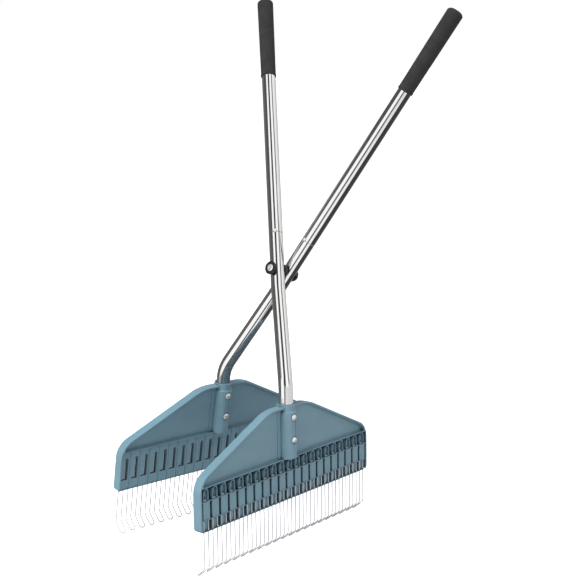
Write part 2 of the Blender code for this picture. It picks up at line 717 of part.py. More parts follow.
def build_head(arm, parent):
    """Moulded head: rimmed tray, boss with a socket, and the rows that hold the wires."""
    frame = arm.head_frame()
    letter = arm.letter
    bm = bmesh.new()
    outline = head_outline()
    add_prism(bm, outline, INNER_FACE, OUTER_FACE)
    head = make_object("head_" + letter, bm, "head_plastic", parent, frame, smooth=False)
    trays = bmesh.new()
    tray = inset_outline(outline, RIM_WALL, ROW_TOP + RAIL)
    add_prism(trays, tray, WEB_OUTER, OUTER_FACE + RAIL)
    add_prism(trays, tray, INNER_FACE - RAIL, WEB_INNER)
    combine(head, make_tool("trays_" + letter, trays, parent, frame), "DIFFERENCE")
    rows = bmesh.new()
    height = (-RAIL, ROW_TOP)
    add_block(rows, (-ROW_SIDE, ROW_SIDE), height, (INNER_FACE - RAIL, ROW_INNER))
    add_block(rows, (-ROW_SIDE, ROW_SIDE), height, (ROW_FRONT, OUTER_FACE + RAIL))
    combine(head, make_tool("rows_" + letter, rows, parent, frame), "DIFFERENCE")
    flange = bmesh.new()
    half = BOSS_FLANGE / 2
    middle = (WEB_INNER + WEB_OUTER) / 2
    depth = (middle - BOSS_FLANGE_THICKNESS / 2, middle + BOSS_FLANGE_THICKNESS / 2)
    add_block(flange, (-half, half), (ROW_TOP, HEAD_TOP - RIM_WALL / 2), depth)
    combine(head, make_tool("flange_" + letter, flange, parent, frame), "UNION")
    boss = bmesh.new()
    profile = [(0.0, ROW_TOP + RAIL / 2), (BOSS_OD / 2, ROW_TOP + RAIL / 2)]
    profile += [(BOSS_OD / 2, BOSS_SHOULDER), (COLLAR_OD / 2, BOSS_SHOULDER + (BOSS_OD - COLLAR_OD) / 2)]
    profile += [(COLLAR_OD / 2, SOCKET_TOP), (0.0, SOCKET_TOP)]
    add_turned(boss, profile, BOSS_SIDES)
    combine(head, make_tool("boss_" + letter, boss, parent, frame), "UNION")
    socket = bmesh.new()
    add_rod(socket, (0, 0, SOCKET_BOTTOM), (0, 0, SOCKET_TOP + RAIL), FIT_R, TUBE_SIDES)
    combine(head, make_tool("socket_" + letter, socket, parent, frame), "DIFFERENCE")
    for sign in (-1.0, 1.0):
        seats = bmesh.new()
        for height in SCREW_HEIGHTS:
            start = (0.0, sign * SCREW_SEAT, height)
            add_rod(seats, start, (0.0, sign * BOSS_OD, height), SCREW_SEAT_OD / 2, 16)
        side = "outer" if sign < 0 else "inner"
        combine(head, make_tool("seats_" + side + "_" + letter, seats, parent, frame), "DIFFERENCE")
    strips = bmesh.new()
    strip = (BOSS_OD / 2 - STRIP_DEPTH, BOSS_OD)
    reach = SCREW_SEAT_OD * 0.35
    rise = (SCREW_HEIGHTS[0] + reach, SCREW_HEIGHTS[1] - reach)
    add_block(strips, (-STRIP_WIDTH / 2, STRIP_WIDTH / 2), rise, strip)
    add_block(strips, (-STRIP_WIDTH / 2, STRIP_WIDTH / 2), rise, (-strip[1], -strip[0]))
    combine(head, make_tool("strips_" + letter, strips, parent, frame), "DIFFERENCE")
    drills = bmesh.new()
    for height in SCREW_HEIGHTS:
        add_rod(drills, (0, -BOSS_OD, height), (0, BOSS_OD, height), SCREW_HOLE_R, 10)
    combine(head, make_tool("screw_drills_" + letter, drills, parent, frame), "DIFFERENCE")
    pockets = bmesh.new()
    add_cell_pockets(pockets)
    combine(head, make_tool("pockets_" + letter, pockets, parent, frame), "DIFFERENCE")
    slots = bmesh.new()
    add_wire_slots(slots)
    combine(head, make_tool("slots_" + letter, slots, parent, frame), "DIFFERENCE")
    lip = bmesh.new()
    end = cell_centres()[-1] + (CELL_PITCH + CELL_WIDTH - CELL_GAP) / 4
    add_block(lip, (-end, end), (CLEARANCE, LIP_HEIGHT), (WIRE_PLANE + WIRE_R + CLEARANCE, ROW_FRONT - CLEARANCE))
    combine(head, make_tool("lip_" + letter, lip, parent, frame), "UNION")
    return head


def build_head_screw(arm, index, parent):
    """Through screw of the boss with a round head at both ends."""
    seat = SCREW_SEAT + CLEARANCE
    head = SCREW_HEAD_OD / 2
    top = seat + SCREW_HEAD_HEIGHT
    half = [(0.0, top), (head * 0.55, top - SCREW_HEAD_HEIGHT * 0.12)]
    half += [(head * 0.9, top - SCREW_HEAD_HEIGHT * 0.45), (head, seat), (SCREW_OD / 2, seat)]
    profile = [(radius, -height) for radius, height in half] + list(reversed(half))
    bm = bmesh.new()
    add_turned(bm, profile, 14, Matrix.Rotation(math.radians(90.0), 4, "X"))
    frame = arm.head_frame() @ Matrix.Translation((0.0, 0.0, SCREW_HEIGHTS[index]))
    name = "head_screw_" + arm.letter + "_" + str(index + 1)
    return make_object(name, bm, "chrome", parent, frame)


def hairpin_points():
    """Centre line of one wire about its cell, in the head's frame.

    It starts lying on the window's sill, runs down the slot as one leg, turns at the hooked tip
    and comes up as the other leg, whose top is the foot beside the first.
    """
    leg = LEG_SPACING / 2
    sill = ROW_WINDOW + RAIL / 2 + CLEARANCE + WIRE_R
    blend = WIRE_OD
    back = WIRE_PLANE
    spare = CLEARANCE + WIRE_R
    end = slot_edges()[0] + ARCH_WIDTH - spare
    points = [(end, back, sill), (-leg + blend, back, sill), (-leg, back, sill - blend)]
    out = Vector((0.0, -math.sin(HOOK_ANGLE), -math.cos(HOOK_ANGLE)))
    elbow = Vector((-leg, back, -TINE_STRAIGHT))
    hook = []
    hook.append(elbow + Vector((0.0, 0.0, HOOK_BLEND)))
    hook.append(elbow + out * HOOK_BLEND)
    middle = Vector((0.0, back, -TINE_STRAIGHT)) + out * (HOOK_LENGTH - leg)
    for across, down in arc((0.0, 0.0), leg, math.pi, 0.0, 3):
        hook.append(middle + Vector((across, 0.0, 0.0)) + out * down)
    points += [tuple(point) for point in hook]
    points += [(-across, depth, up) for across, depth, up in (tuple(hook[1]), tuple(hook[0]))]
    points += [(leg, back, ROW_CELL - blend), (leg - blend, back, ROW_CELL)]
    points += [(-leg + WIRE_OD + CLEARANCE, back, ROW_CELL)]
    return [Vector((across, -depth, up)) for across, depth, up in points]


def build_tines(arm, parent):
    """One hooked hairpin of wire for each cell."""
    frame = arm.head_frame()
    points = hairpin_points()
    bm = bmesh.new()
    add_sweep(bm, points, [WIRE_R] * len(points), WIRE_SIDES)
    first = None
    for index, centre in enumerate(cell_centres()):
        name = "tine_" + arm.letter + "_" + format(index + 1, "02d")
        place = frame @ Matrix.Translation((centre, 0.0, 0.0))
        if first is None:
            first = make_object(name, bm, "wire", parent, place)
            continue
        tine = bpy.data.objects.new(name, first.data)
        bpy.context.collection.objects.link(tine)
        tine.parent = parent
        tine.matrix_local = place


def make_pivot_empty(name):
    """Empty on the hinge axis that carries one arm, its X along the bolt."""
    empty = bpy.data.objects.new(name, None)
    empty.location = hinge_place()
    empty.rotation_euler = (0.0, HINGE_TILT, 0.0)
    bpy.context.collection.objects.link(empty)
    return empty


def main():
    """Build both arms and the pivot between them."""
    clear_scene()
    empties = {letter: make_pivot_empty("arm_" + letter + "_pivot") for letter in ARMS}
    bpy.context.view_layer.update()
    for letter in ARMS:
        arm = ArmFrame(letter)
        parent = empties[letter]
        build_grip(arm, parent)
        build_upper_tube(arm, parent)
        build_lower_tube(arm, parent)
        build_snap_clip(arm, parent)
        build_head(arm, parent)
        for index in range(len(SCREW_HEIGHTS)):
            build_head_screw(arm, index, parent)
        build_tines(arm, parent)
    first = ArmFrame("a")
    build_pivot_bolt(empties["a"])
    build_knob(first, empties["a"])
    build_spacer(first, empties["a"])
    build_cap(ArmFrame("b"), empties["b"])
    bpy.context.view_layer.update()


main()
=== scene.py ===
"""Leaf grabber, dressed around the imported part.

Metres, +Z up, in the part's own frame: the heads' width runs along X and the jaws open along Y.
The hinge axis dips towards +X and the handles stand square to it. Arm A carries the head on the
-Y side and arm B the one on the +Y side.
"""
import json
import logging
import math
from collections.abc import Iterable, Sequence
from dataclasses import dataclass
from enum import Enum

import bmesh
import bpy
from mathutils import Matrix, Vector


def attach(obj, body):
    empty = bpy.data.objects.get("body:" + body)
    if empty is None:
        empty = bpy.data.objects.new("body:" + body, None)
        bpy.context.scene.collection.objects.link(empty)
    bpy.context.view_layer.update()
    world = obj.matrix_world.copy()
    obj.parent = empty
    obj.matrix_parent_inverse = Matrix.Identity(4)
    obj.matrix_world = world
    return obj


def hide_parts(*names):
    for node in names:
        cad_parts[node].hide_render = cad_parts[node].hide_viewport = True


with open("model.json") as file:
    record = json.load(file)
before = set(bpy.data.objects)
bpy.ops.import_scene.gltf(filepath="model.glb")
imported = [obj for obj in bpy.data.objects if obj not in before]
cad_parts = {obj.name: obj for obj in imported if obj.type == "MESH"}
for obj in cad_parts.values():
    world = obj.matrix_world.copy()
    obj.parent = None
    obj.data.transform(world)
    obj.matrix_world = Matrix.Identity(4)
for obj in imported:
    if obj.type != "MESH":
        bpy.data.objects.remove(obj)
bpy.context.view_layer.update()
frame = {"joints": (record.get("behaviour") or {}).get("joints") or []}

log = logging.getLogger("leaf_grabber")

Outline = list[Vector]
Profile = list[tuple[float, float]]
Ring = list[bmesh.types.BMVert]
Bands = tuple[tuple[float, float], ...]

GAP = 0.0003
QUARTER = math.pi / 2
NOISE_LOW = 0.3
NOISE_HIGH = 0.7
HOLE_SIDES = 32
SCREW_SIDES = 48


class Arm(Enum):
    """The two arms, lettered as their bodies are."""

    A = "a"
    B = "b"

    @property
    def side(self) -> float:
        """Side of the jaw that this arm's head is on, along Y."""
        return -1.0 if self is Arm.A else 1.0

    @property
    def body(self) -> str:
        """Body that this arm's pieces ride on."""
        return "arm_" + self.value


class Slot(Enum):
    """Finishes, named as the record's material slots are."""

    STEEL = "steel"
    CHROME = "chrome"
    WIRE = "wire"
    GRIP = "grip"
    BLACK_PLASTIC = "black_plastic"
    HEAD_PLASTIC = "head_plastic"


class Carve(Enum):
    """What a tool does to the piece it meets."""

    CUT = "DIFFERENCE"
    JOIN = "UNION"


def arc(centre: tuple[float, float], radius: float, start: float, end: float, steps: int) -> Outline:
    """Points on an arc in a plane, both ends included.

    Args:
        centre: Middle of the arc.
        radius: Radius of the arc.
        start: First angle in radians.
        end: Last angle in radians.
        steps: Number of equal turns between the ends.

    Returns:
        The points in order.
    """
    points = []
    for index in range(steps + 1):
        angle = start + (end - start) * index / steps
        points.append(Vector(centre) + radius * Vector((math.cos(angle), math.sin(angle))))
    return points


def offset_outline(outline: Outline, distance: float) -> Outline:
    """Move every side of a closed outline outwards, keeping its corners.

    Args:
        outline: Corners in anticlockwise order.
        distance: How far out each side goes, or in where it is negative.

    Returns:
        As many corners, moved.
    """
    moved = []
    for index, corner in enumerate(outline):
        before = corner - outline[index - 1]
        after = outline[(index + 1) % len(outline)] - corner
        both = Vector((before.y, -before.x)).normalized() + Vector((after.y, -after.x)).normalized()
        moved.append(corner + both * (2 * distance / both.length_squared))
    return moved


def turned_edge(middle: tuple[float, float], radius: float, start: float, end: float, steps: int) -> Profile:
    """Arc as radii and heights of a profile."""
    return [(point.x, point.y) for point in arc(middle, radius, start, end, steps)]


def rectangle(across: tuple[float, float], up: tuple[float, float]) -> Outline:
    """Corners of a rectangle from its (low, high) ranges."""
    corners = [(across[0], up[0]), (across[1], up[0]), (across[1], up[1]), (across[0], up[1])]
    return [Vector(corner) for corner in corners]


def rounded_corner(before: Vector, corner: Vector, after: Vector, radius: float, steps: int) -> list[Vector]:
    """Points of the arc that rounds a corner between two straight runs.

    Args:
        before: A point on the run that arrives.
        corner: Where the two runs would meet.
        after: A point on the run that leaves.
        radius: Bend radius.
        steps: Number of chords in the arc.

    Returns:
        The points in order, from the first run to the second.
    """
    arriving = (corner - before).normalized()
    leaving = (after - corner).normalized()
    turn = arriving.angle(leaving)
    start = corner - arriving * radius * math.tan(turn / 2)
    middle = (leaving - arriving).normalized()
    centre = corner + middle * (radius / math.cos(turn / 2))
    axis = arriving.cross(leaving).normalized()
    points = []
    for index in range(steps + 1):
        points.append(centre + Matrix.Rotation(turn * index / steps, 3, axis) @ (start - centre))
    return points


def path_frames(points: Sequence[Vector]) -> list[Matrix]:
    """Frames along a path that turn as little as they can, Z along the path.

    Args:
        points: Points of the path.

    Returns:
        One frame for each point.
    """
    tangents = []
    for index in range(len(points)):
        before = points[max(index - 1, 0)]
        after = points[min(index + 1, len(points) - 1)]
        tangents.append((after - before).normalized())
    side = min(Matrix.Identity(3), key=lambda axis: abs(axis.dot(tangents[0])))
    frames = []
    for point, tangent in zip(points, tangents):
        side = (side - tangent * side.dot(tangent)).normalized()
        turn = Matrix((side, tangent.cross(side), tangent)).transposed().to_4x4()
        frames.append(Matrix.Translation(point) @ turn)
    return frames


def along(axis: Vector, place: Vector | None = None) -> Matrix:
    """Frame at a place whose Z runs along an axis."""
    turn = Vector((0.0, 0.0, 1.0)).rotation_difference(axis).to_matrix().to_4x4()
    return Matrix.Translation(place or Vector()) @ turn


class Sketch:
    """A mesh being made, with the moves of a lathe, a tube bender and a press."""

    def __init__(self) -> None:
        """Start with an empty mesh that has one map of its surface."""
        self.mesh = bmesh.new()
        self.map = self.mesh.loops.layers.uv.new("surface")

    def ring(self, place: Matrix, radius: float, sides: int) -> Ring:
        """Circle of corners square to a frame's Z axis; one corner where the radius is zero.

        Args:
            place: Frame of the circle.
            radius: Radius of the circle.
            sides: Number of corners.

        Returns:
            The corners.
        """
        if radius == 0.0:
            return [self.mesh.verts.new(place.translation)]
        circle = arc((0.0, 0.0), radius, 0.0, 2 * math.pi * (sides - 1) / sides, sides - 1)
        return [self.mesh.verts.new(place @ point.to_3d()) for point in circle]

    def join(self, first: Ring, second: Ring, low: float = 0.0, high: float = 0.0) -> None:
        """Join two rings with faces, mapped once round and from low to high in metres.

        Args:
            first: Ring at the low end.
            second: Ring at the high end.
            low: Distance along the surface at the first ring.
            high: Distance along the surface at the second ring.
        """
        sides = max(len(first), len(second))
        for index in range(sides):
            after = index + 1
            corners = [(first, index, low), (first, after, low), (second, after, high), (second, index, high)]
            if len(first) == 1:
                corners.pop(1)
            if len(second) == 1:
                corners.pop(2)
            face = self.mesh.faces.new([ring[turn % len(ring)] for ring, turn, _ in corners])
            for loop, (_, turn, height) in zip(face.loops, corners):
                loop[self.map].uv = (turn / sides, height)

    def chain(self, rings: Sequence[Ring], points: Sequence[Vector]) -> float:
        """Join rings in a row, mapped by the distance between their points.

        Args:
            rings: The rings in order.
            points: A point for each ring.

        Returns:
            The distance from the first point to the last.
        """
        distance = 0.0
        for index, (first, second) in enumerate(zip(rings, rings[1:])):
            reach = distance + (points[index + 1] - points[index]).length
            self.join(first, second, distance, reach)
            distance = reach
        return distance

    def turned(self, profile: Profile, sides: int, place: Matrix | None = None, hollow: bool = False) -> None:
        """Turn (radius, height) pairs about Z, closing an end that has a radius with a flat.

        Args:
            profile: Radii and heights in order.
            sides: Number of corners round the axis.
            place: Frame of the axis.
            hollow: Join the last ring to the first, as on a tube, in place of flat ends.
        """
        place = place or Matrix.Identity(4)
        rings = [self.ring(place @ Matrix.Translation((0, 0, up)), radius, sides) for radius, up in profile]
        distance = self.chain(rings, [Vector(pair) for pair in profile])
        if hollow:
            self.join(rings[-1], rings[0], distance, distance)
            return
        for ring in (rings[0], rings[-1]):
            if len(ring) > 1:
                self.mesh.faces.new(ring)

    def swept(self, points: Sequence[Vector], radii: Sequence[float], sides: int) -> None:
        """Round bar along a path, closed at both ends.

        Args:
            points: Centre line.
            radii: Radius at each point.
            sides: Number of corners round the bar.
        """
        rings = [self.ring(place, radius, sides) for place, radius in zip(path_frames(points), radii)]
        self.chain(rings, points)
        self.mesh.faces.new(list(reversed(rings[0])))
        self.mesh.faces.new(rings[-1])

    def rod(self, start: Vector, end: Vector, radius: float, sides: int) -> None:
        """Straight round bar from start to end."""
        self.swept([start, end], [radius, radius], sides)

    def stacked(self, levels: Iterable[tuple[Outline, float]]) -> None:
        """Solid through a stack of outlines, each at its own depth out of the head.

        Args:
            levels: Outlines of the same count with their depths, which is -Y in a head's frame.
        """
        rings = []
        for outline, depth in levels:
            rings.append([self.mesh.verts.new((point.x, -depth, point.y)) for point in outline])
        for first, second in zip(rings, rings[1:]):
            self.join(first, second)
        self.mesh.faces.new(rings[0])
        self.mesh.faces.new(rings[-1])

    def pressed(self, outline: Outline, floor: float, face: float, lip: float, fillet: float = 0.0) -> None:
        """Cutter for a pocket with a rounded mouth and, where asked, a filleted floor.

        Args:
            outline: Shape of the pocket's wall.
            floor: Depth of its floor.
            face: Depth of the face that it opens in.
            lip: Radius of the rounded mouth.
            fillet: Radius between the wall and the floor.
        """
        towards = 1.0 if face > floor else -1.0
        levels = []
        if fillet:
            for point in arc((0.0, fillet), fillet, -QUARTER, 0.0, 5):
                levels.append((offset_outline(outline, point.x - fillet), floor + towards * point.y))
        else:
            levels.append((outline, floor))
        for point in arc((lip, -lip), lip, math.pi, QUARTER, 3):
            levels.append((offset_outline(outline, point.x), face + towards * point.y))
        levels.append((levels[-1][0], face + towards * 10 * lip))
        self.stacked(levels)

    def slab(self, outline: Outline, low: float, high: float, rounding: float) -> None:
        """Plate between two depths with rounded edges.

        Args:
            outline: Shape of the plate.
            low: Depth of one face.
            high: Depth of the other face.
            rounding: Radius of both edges.
        """
        levels = []
        for point in arc((-rounding, low + rounding), rounding, -QUARTER, 0.0, 4):
            levels.append((offset_outline(outline, point.x), point.y))
        for point in arc((-rounding, high - rounding), rounding, 0.0, QUARTER, 4):
            levels.append((offset_outline(outline, point.x), point.y))
        self.stacked(levels)

    def piece(self, name: str, place: Matrix | None = None) -> bpy.types.Object:
        """Close the sketch and make its object.

        Args:
            name: Name of the object.
            place: Frame that the sketch was drawn in.

        Returns:
            The object, with its faces pointing out.
        """
        self.mesh.transform(place or Matrix.Identity(4))
        bmesh.ops.recalc_face_normals(self.mesh, faces=self.mesh.faces)
        mesh = bpy.data.meshes.new(name)
        self.mesh.to_mesh(mesh)
        self.mesh.free()
        obj = bpy.data.objects.new(name, mesh)
        bpy.context.scene.collection.objects.link(obj)
        return obj


def carve(piece: bpy.types.Object, jobs: Iterable[tuple[Sketch, Carve]], place: Matrix | None = None) -> None:
    """Cut and join tools, one after the other.

    Args:
        piece: Object that is worked on.
        jobs: Tools with what each does.
        place: Frame that the tools were drawn in.
    """
    tools = []
    for sketch, job in jobs:
        tool = sketch.piece(piece.name + "_tool", place)
        modifier = piece.modifiers.new(tool.name, "BOOLEAN")
        modifier.operation = job.value
        modifier.solver = "MANIFOLD"
        modifier.object = tool
        tools.append(tool)
    rough = piece.data
    bpy.context.view_layer.update()
    worked = piece.evaluated_get(bpy.context.evaluated_depsgraph_get())
    piece.data = bpy.data.meshes.new_from_object(worked)
    piece.modifiers.clear()
    piece.data.name = rough.name + "_worked"
    bpy.data.meshes.remove(rough)
    for tool in tools:
        mesh = tool.data
        bpy.data.objects.remove(tool, do_unlink=True)
        bpy.data.meshes.remove(mesh)


def shade(piece: bpy.types.Object, sharp: float = 32.0) -> None:
    """Shade a piece smooth up to an angle, with its flats kept flat.

    Args:
        piece: Object to shade.
        sharp: Angle in degrees above which an edge stays crisp.
    """
    piece.data.shade_smooth()
    piece.data.set_sharp_from_angle(angle=math.radians(sharp))
    weighted = piece.modifiers.new("flats_stay_flat", "WEIGHTED_NORMAL")
    weighted.keep_sharp = True
    weighted.weight = 60


class Wiring:
    """A node tree, with short calls for its nodes and links."""

    def __init__(self, tree: bpy.types.NodeTree) -> None:
        """Take a node tree in hand."""
        self.tree = tree

    def node(self, kind: str, **settings: object) -> bpy.types.Node:
        """Add a node and set its own properties.

        Args:
            kind: Type of the node.
            settings: Properties with their values.

        Returns:
            The node.
        """
        made = self.tree.nodes.new(kind)
        for name, value in settings.items():
            setattr(made, name, value)
        return made

    def feed(self, source: bpy.types.NodeSocket, target: bpy.types.NodeSocket) -> None:
        """Link one socket to another."""
        self.tree.links.new(source, target)

    def ranged(self, value: bpy.types.NodeSocket, start: float, end: float) -> bpy.types.NodeSocket:
        """Map a range of a value onto 0 to 1.

        Args:
            value: The value.
            start: Value that becomes 0.
            end: Value that becomes 1.

        Returns:
            The mapped value.
        """
        made = self.node("ShaderNodeMapRange")
        made.inputs["From Min"].default_value = start
        made.inputs["From Max"].default_value = end
        self.feed(value, made.inputs["Value"])
        return made.outputs["Result"]

    def mixed(self, share: bpy.types.NodeSocket, first: bpy.types.NodeSocket | float,
              second: bpy.types.NodeSocket | float) -> bpy.types.NodeSocket:
        """Mix two colours, each a socket or the level of a plain grey.

        Args:
            share: Share of the second colour.
            first: Colour where the share is 0.
            second: Colour where the share is 1.

        Returns:
            The mixed colour.
        """
        mixer = self.node("ShaderNodeMix", data_type="RGBA")
        self.feed(share, mixer.inputs["Factor"])
        for name, side in (("A", first), ("B", second)):
            if isinstance(side, float):
                mixer.inputs[name].default_value = (side, side, side, 1.0)
            else:
                self.feed(side, mixer.inputs[name])
        return mixer.outputs["Result"]


class Recipe(Wiring):
    """Node tree of one finish, with the nodes that the finishes share."""

    def __init__(self, name: str) -> None:
        """Start a material with a bare shader.

        Args:
            name: Name of the material.
        """
        self.material = bpy.data.materials.new(name)
        self.material.use_nodes = True
        super().__init__(self.material.node_tree)
        self.shader = self.tree.nodes["Principled BSDF"]

    def place(self, source: str, stretch: tuple[float, float, float]) -> bpy.types.NodeSocket:
        """Texture coordinates, stretched.

        Args:
            source: Object or UV, an output of the coordinate node.
            stretch: Scale along each axis.

        Returns:
            The vector socket.
        """
        coordinates = self.node("ShaderNodeTexCoord")
        mapping = self.node("ShaderNodeMapping")
        mapping.inputs["Scale"].default_value = stretch
        self.feed(coordinates.outputs[source], mapping.inputs["Vector"])
        return mapping.outputs["Vector"]

    def noise(self, vector: bpy.types.NodeSocket, scale: float, detail: float) -> bpy.types.NodeSocket:
        """Noise from 0 to 1.

        Args:
            vector: Coordinates.
            scale: Cells per metre of the coordinates.
            detail: Octaves.

        Returns:
            The factor socket.
        """
        made = self.node("ShaderNodeTexNoise")
        made.inputs["Scale"].default_value = scale
        made.inputs["Detail"].default_value = detail
        self.feed(vector, made.inputs["Vector"])
        return made.outputs["Fac"]

    def spread(self, factor: bpy.types.NodeSocket, low: float, high: float) -> bpy.types.NodeSocket:
        """Map the middle of a noise's range onto low to high.

        Args:
            factor: Noise from 0 to 1.
            low: Value at the noise's low end.
            high: Value at its high end.

        Returns:
            The value socket.
        """
        made = self.node("ShaderNodeMapRange")
        made.inputs["From Min"].default_value = NOISE_LOW
        made.inputs["From Max"].default_value = NOISE_HIGH
        made.inputs["To Min"].default_value = low
        made.inputs["To Max"].default_value = high
        self.feed(factor, made.inputs["Value"])
        return made.outputs["Result"]

    def tint(self, factor: bpy.types.NodeSocket, colour: Sequence[float], dark: float, light: float) -> None:
        """Colour the shader in shades of one colour by a noise.

        Args:
            factor: Noise from 0 to 1.
            colour: The colour.
            dark: Share of it at the noise's low end.
            light: Share of it at its high end.
        """
        ramp = self.node("ShaderNodeValToRGB")
        for stop, position, share in zip(ramp.color_ramp.elements, (NOISE_LOW, NOISE_HIGH), (dark, light)):
            stop.position = position
            stop.color = (*[channel * share for channel in colour], 1.0)
        self.feed(factor, ramp.inputs["Fac"])
        self.feed(ramp.outputs["Color"], self.shader.inputs["Base Color"])

    def sheen(self, factor: bpy.types.NodeSocket, roughness: float, low: float, high: float) -> None:
        """Vary the shader's roughness by a noise.

        Args:
            factor: Noise from 0 to 1.
            roughness: The roughness.
            low: Share of it at the noise's low end.
            high: Share of it at its high end.
        """
        varied = self.spread(factor, roughness * low, roughness * high)
        self.feed(varied, self.shader.inputs["Roughness"])

    def paint_gap_shade(self, reach: float, darkest: float, shut: float = 0.35, clear: float = 0.75) -> None:
        """Paint shade into the colour in narrow gaps, on top of the real light.

        Args:
            reach: How far off in metres another wall still darkens.
            darkest: Brightness of the painted shade at the bottom of a narrow gap.
            shut: Share of open sky at which a gap is darkest.
            clear: Share of open sky from which nothing is darkened.
        """
        base = self.shader.inputs["Base Color"]
        colour = base.links[0].from_socket
        # Painted shade: ambient occlusion multiplies the base colour down where other walls are near.
        openness = self.node("ShaderNodeAmbientOcclusion", samples=6)
        openness.inputs["Distance"].default_value = reach
        level = self.node("ShaderNodeMapRange")
        level.inputs["From Min"].default_value = shut
        level.inputs["From Max"].default_value = clear
        level.inputs["To Min"].default_value = darkest
        darker = self.node("ShaderNodeMix", data_type="RGBA", blend_type="MULTIPLY")
        darker.inputs["Factor"].default_value = 1.0
        self.feed(openness.outputs["AO"], level.inputs["Value"])
        self.feed(colour, darker.inputs["A"])
        self.feed(level.outputs["Result"], darker.inputs["B"])
        self.feed(darker.outputs["Result"], base)

    def relief(self, height: bpy.types.NodeSocket, depth: float, strength: float) -> None:
        """Give the surface a fine relief.

        Args:
            height: Noise from 0 to 1.
            depth: Depth of the relief in metres.
            strength: Share of it that shows.
        """
        bump = self.node("ShaderNodeBump")
        bump.inputs["Distance"].default_value = depth
        bump.inputs["Strength"].default_value = strength
        self.feed(height, bump.inputs["Height"])
        self.feed(bump.outputs["Normal"], self.shader.inputs["Normal"])

    def fixed(self, name: str, value: float | tuple[float, ...]) -> None:
        """Set a socket of the shader that is the same all over."""
        self.shader.inputs[name].default_value = value


@dataclass(frozen=True)
class PolishedTube:
    """Drawn stainless tube, polished, with faint draw lines along it."""

    name: str = "polished_stainless"
    colour: tuple[float, float, float] = (0.74, 0.735, 0.73)
    roughness: float = 0.10
    lines_round: float = 90.0
    lines_per_metre: float = 5.0
    line_depth: float = 0.000008
    clouds: float = 22.0
    metallic: float = 1.0

    def make(self) -> bpy.types.Material:
        """Make the material.

        Returns:
            The material.
        """
        recipe = Recipe(self.name)
        lines = recipe.noise(recipe.place("UV", (self.lines_round, self.lines_per_metre, 1.0)), 1.0, 3.0)
        cloud = recipe.noise(recipe.place("Object", (1.0, 1.0, 1.0)), self.clouds, 3.0)
        recipe.tint(lines, self.colour, 0.94, 1.05)
        recipe.sheen(cloud, self.roughness, 0.8, 1.35)
        recipe.relief(lines, self.line_depth, 0.12)
        recipe.fixed("Metallic", self.metallic)
        return recipe.material


@dataclass(frozen=True)
class BrightPlate:
    """Bright plated fastener with a faint polishing haze."""

    name: str = "bright_chrome"
    colour: tuple[float, float, float] = (0.90, 0.90, 0.90)
    roughness: float = 0.30
    haze: float = 900.0
    haze_depth: float = 0.00001
    metallic: float = 0.75

    def make(self) -> bpy.types.Material:
        """Make the material.

        Returns:
            The material.
        """
        recipe = Recipe(self.name)
        haze = recipe.noise(recipe.place("Object", (1.0, 1.0, 1.0)), self.haze, 3.0)
        recipe.tint(haze, self.colour, 0.93, 1.04)
        recipe.sheen(haze, self.roughness, 0.7, 1.6)
        recipe.relief(haze, self.haze_depth, 0.2)
        recipe.fixed("Metallic", self.metallic)
        return recipe.material


@dataclass(frozen=True)
class SpringWire:
    """Drawn spring wire with fine die lines along it."""

    name: str = "spring_wire"
    colour: tuple[float, float, float] = (0.60, 0.59, 0.635)
    roughness: float = 0.42
    lines_round: float = 26.0
    lines_per_metre: float = 40.0
    line_depth: float = 0.00001
    metallic: float = 0.45

    def make(self) -> bpy.types.Material:
        """Make the material.

        Returns:
            The material.
        """
        recipe = Recipe(self.name)
        lines = recipe.noise(recipe.place("UV", (self.lines_round, self.lines_per_metre, 1.0)), 1.0, 2.0)
        recipe.tint(lines, self.colour, 0.9, 1.08)
        recipe.sheen(lines, self.roughness, 0.8, 1.3)
        recipe.relief(lines, self.line_depth, 0.3)
        recipe.fixed("Metallic", self.metallic)
        return recipe.material


@dataclass(frozen=True)
class MattFoam:
    """Dense matt foam sleeve with fine closed pores."""

    name: str = "matt_grip_foam"
    colour: tuple[float, float, float] = (0.025, 0.025, 0.026)
    roughness: float = 0.86
    clouds: float = 60.0
    pores: float = 1500.0
    pore_depth: float = 0.00025
    gloss: float = 0.35

    def make(self) -> bpy.types.Material:
        """Make the material.

        Returns:
            The material.
        """
        recipe = Recipe(self.name)
        place = recipe.place("Object", (1.0, 1.0, 1.0))
        cloud = recipe.noise(place, self.clouds, 4.0)
        pores = recipe.noise(place, self.pores, 2.0)
        recipe.tint(cloud, self.colour, 0.82, 1.22)
        recipe.sheen(cloud, self.roughness, 0.92, 1.08)
        recipe.relief(pores, self.pore_depth, 0.5)
        recipe.fixed("Specular IOR Level", self.gloss)
        return recipe.material


@dataclass(frozen=True)
class MouldedPlastic:
    """Moulded plastic with the fine spark-eroded grain of its mould, and painted shade in its narrow gaps."""

    name: str
    colour: tuple[float, float, float]
    roughness: float
    grain: float
    grain_depth: float
    mottling: float
    flow: float = 14.0
    flow_squash: float = 2.2
    rubbing: float = 70.0
    # Reach and darkest level of the painted shade in gaps.
    painted_shade_reach: float = 0.008
    painted_shade_level: float = 0.16

    def make(self) -> bpy.types.Material:
        """Make the material.

        Returns:
            The material.
        """
        recipe = Recipe(self.name)
        place = recipe.place("Object", (1.0, 1.0, 1.0))
        flow = recipe.noise(recipe.place("Object", (1.0, 1.0, self.flow_squash)), self.flow, 5.0)
        grain = recipe.noise(place, self.grain, 2.0)
        rubbed = recipe.noise(place, self.rubbing, 6.0)
        recipe.tint(flow, self.colour, 1 - self.mottling, 1 + self.mottling)
        recipe.sheen(rubbed, self.roughness, 0.88, 1.14)
        # Painted shade: the colour is darkened in narrow gaps and recesses.
        recipe.paint_gap_shade(self.painted_shade_reach, self.painted_shade_level)
        recipe.relief(grain, self.grain_depth, 0.35)
        return recipe.material


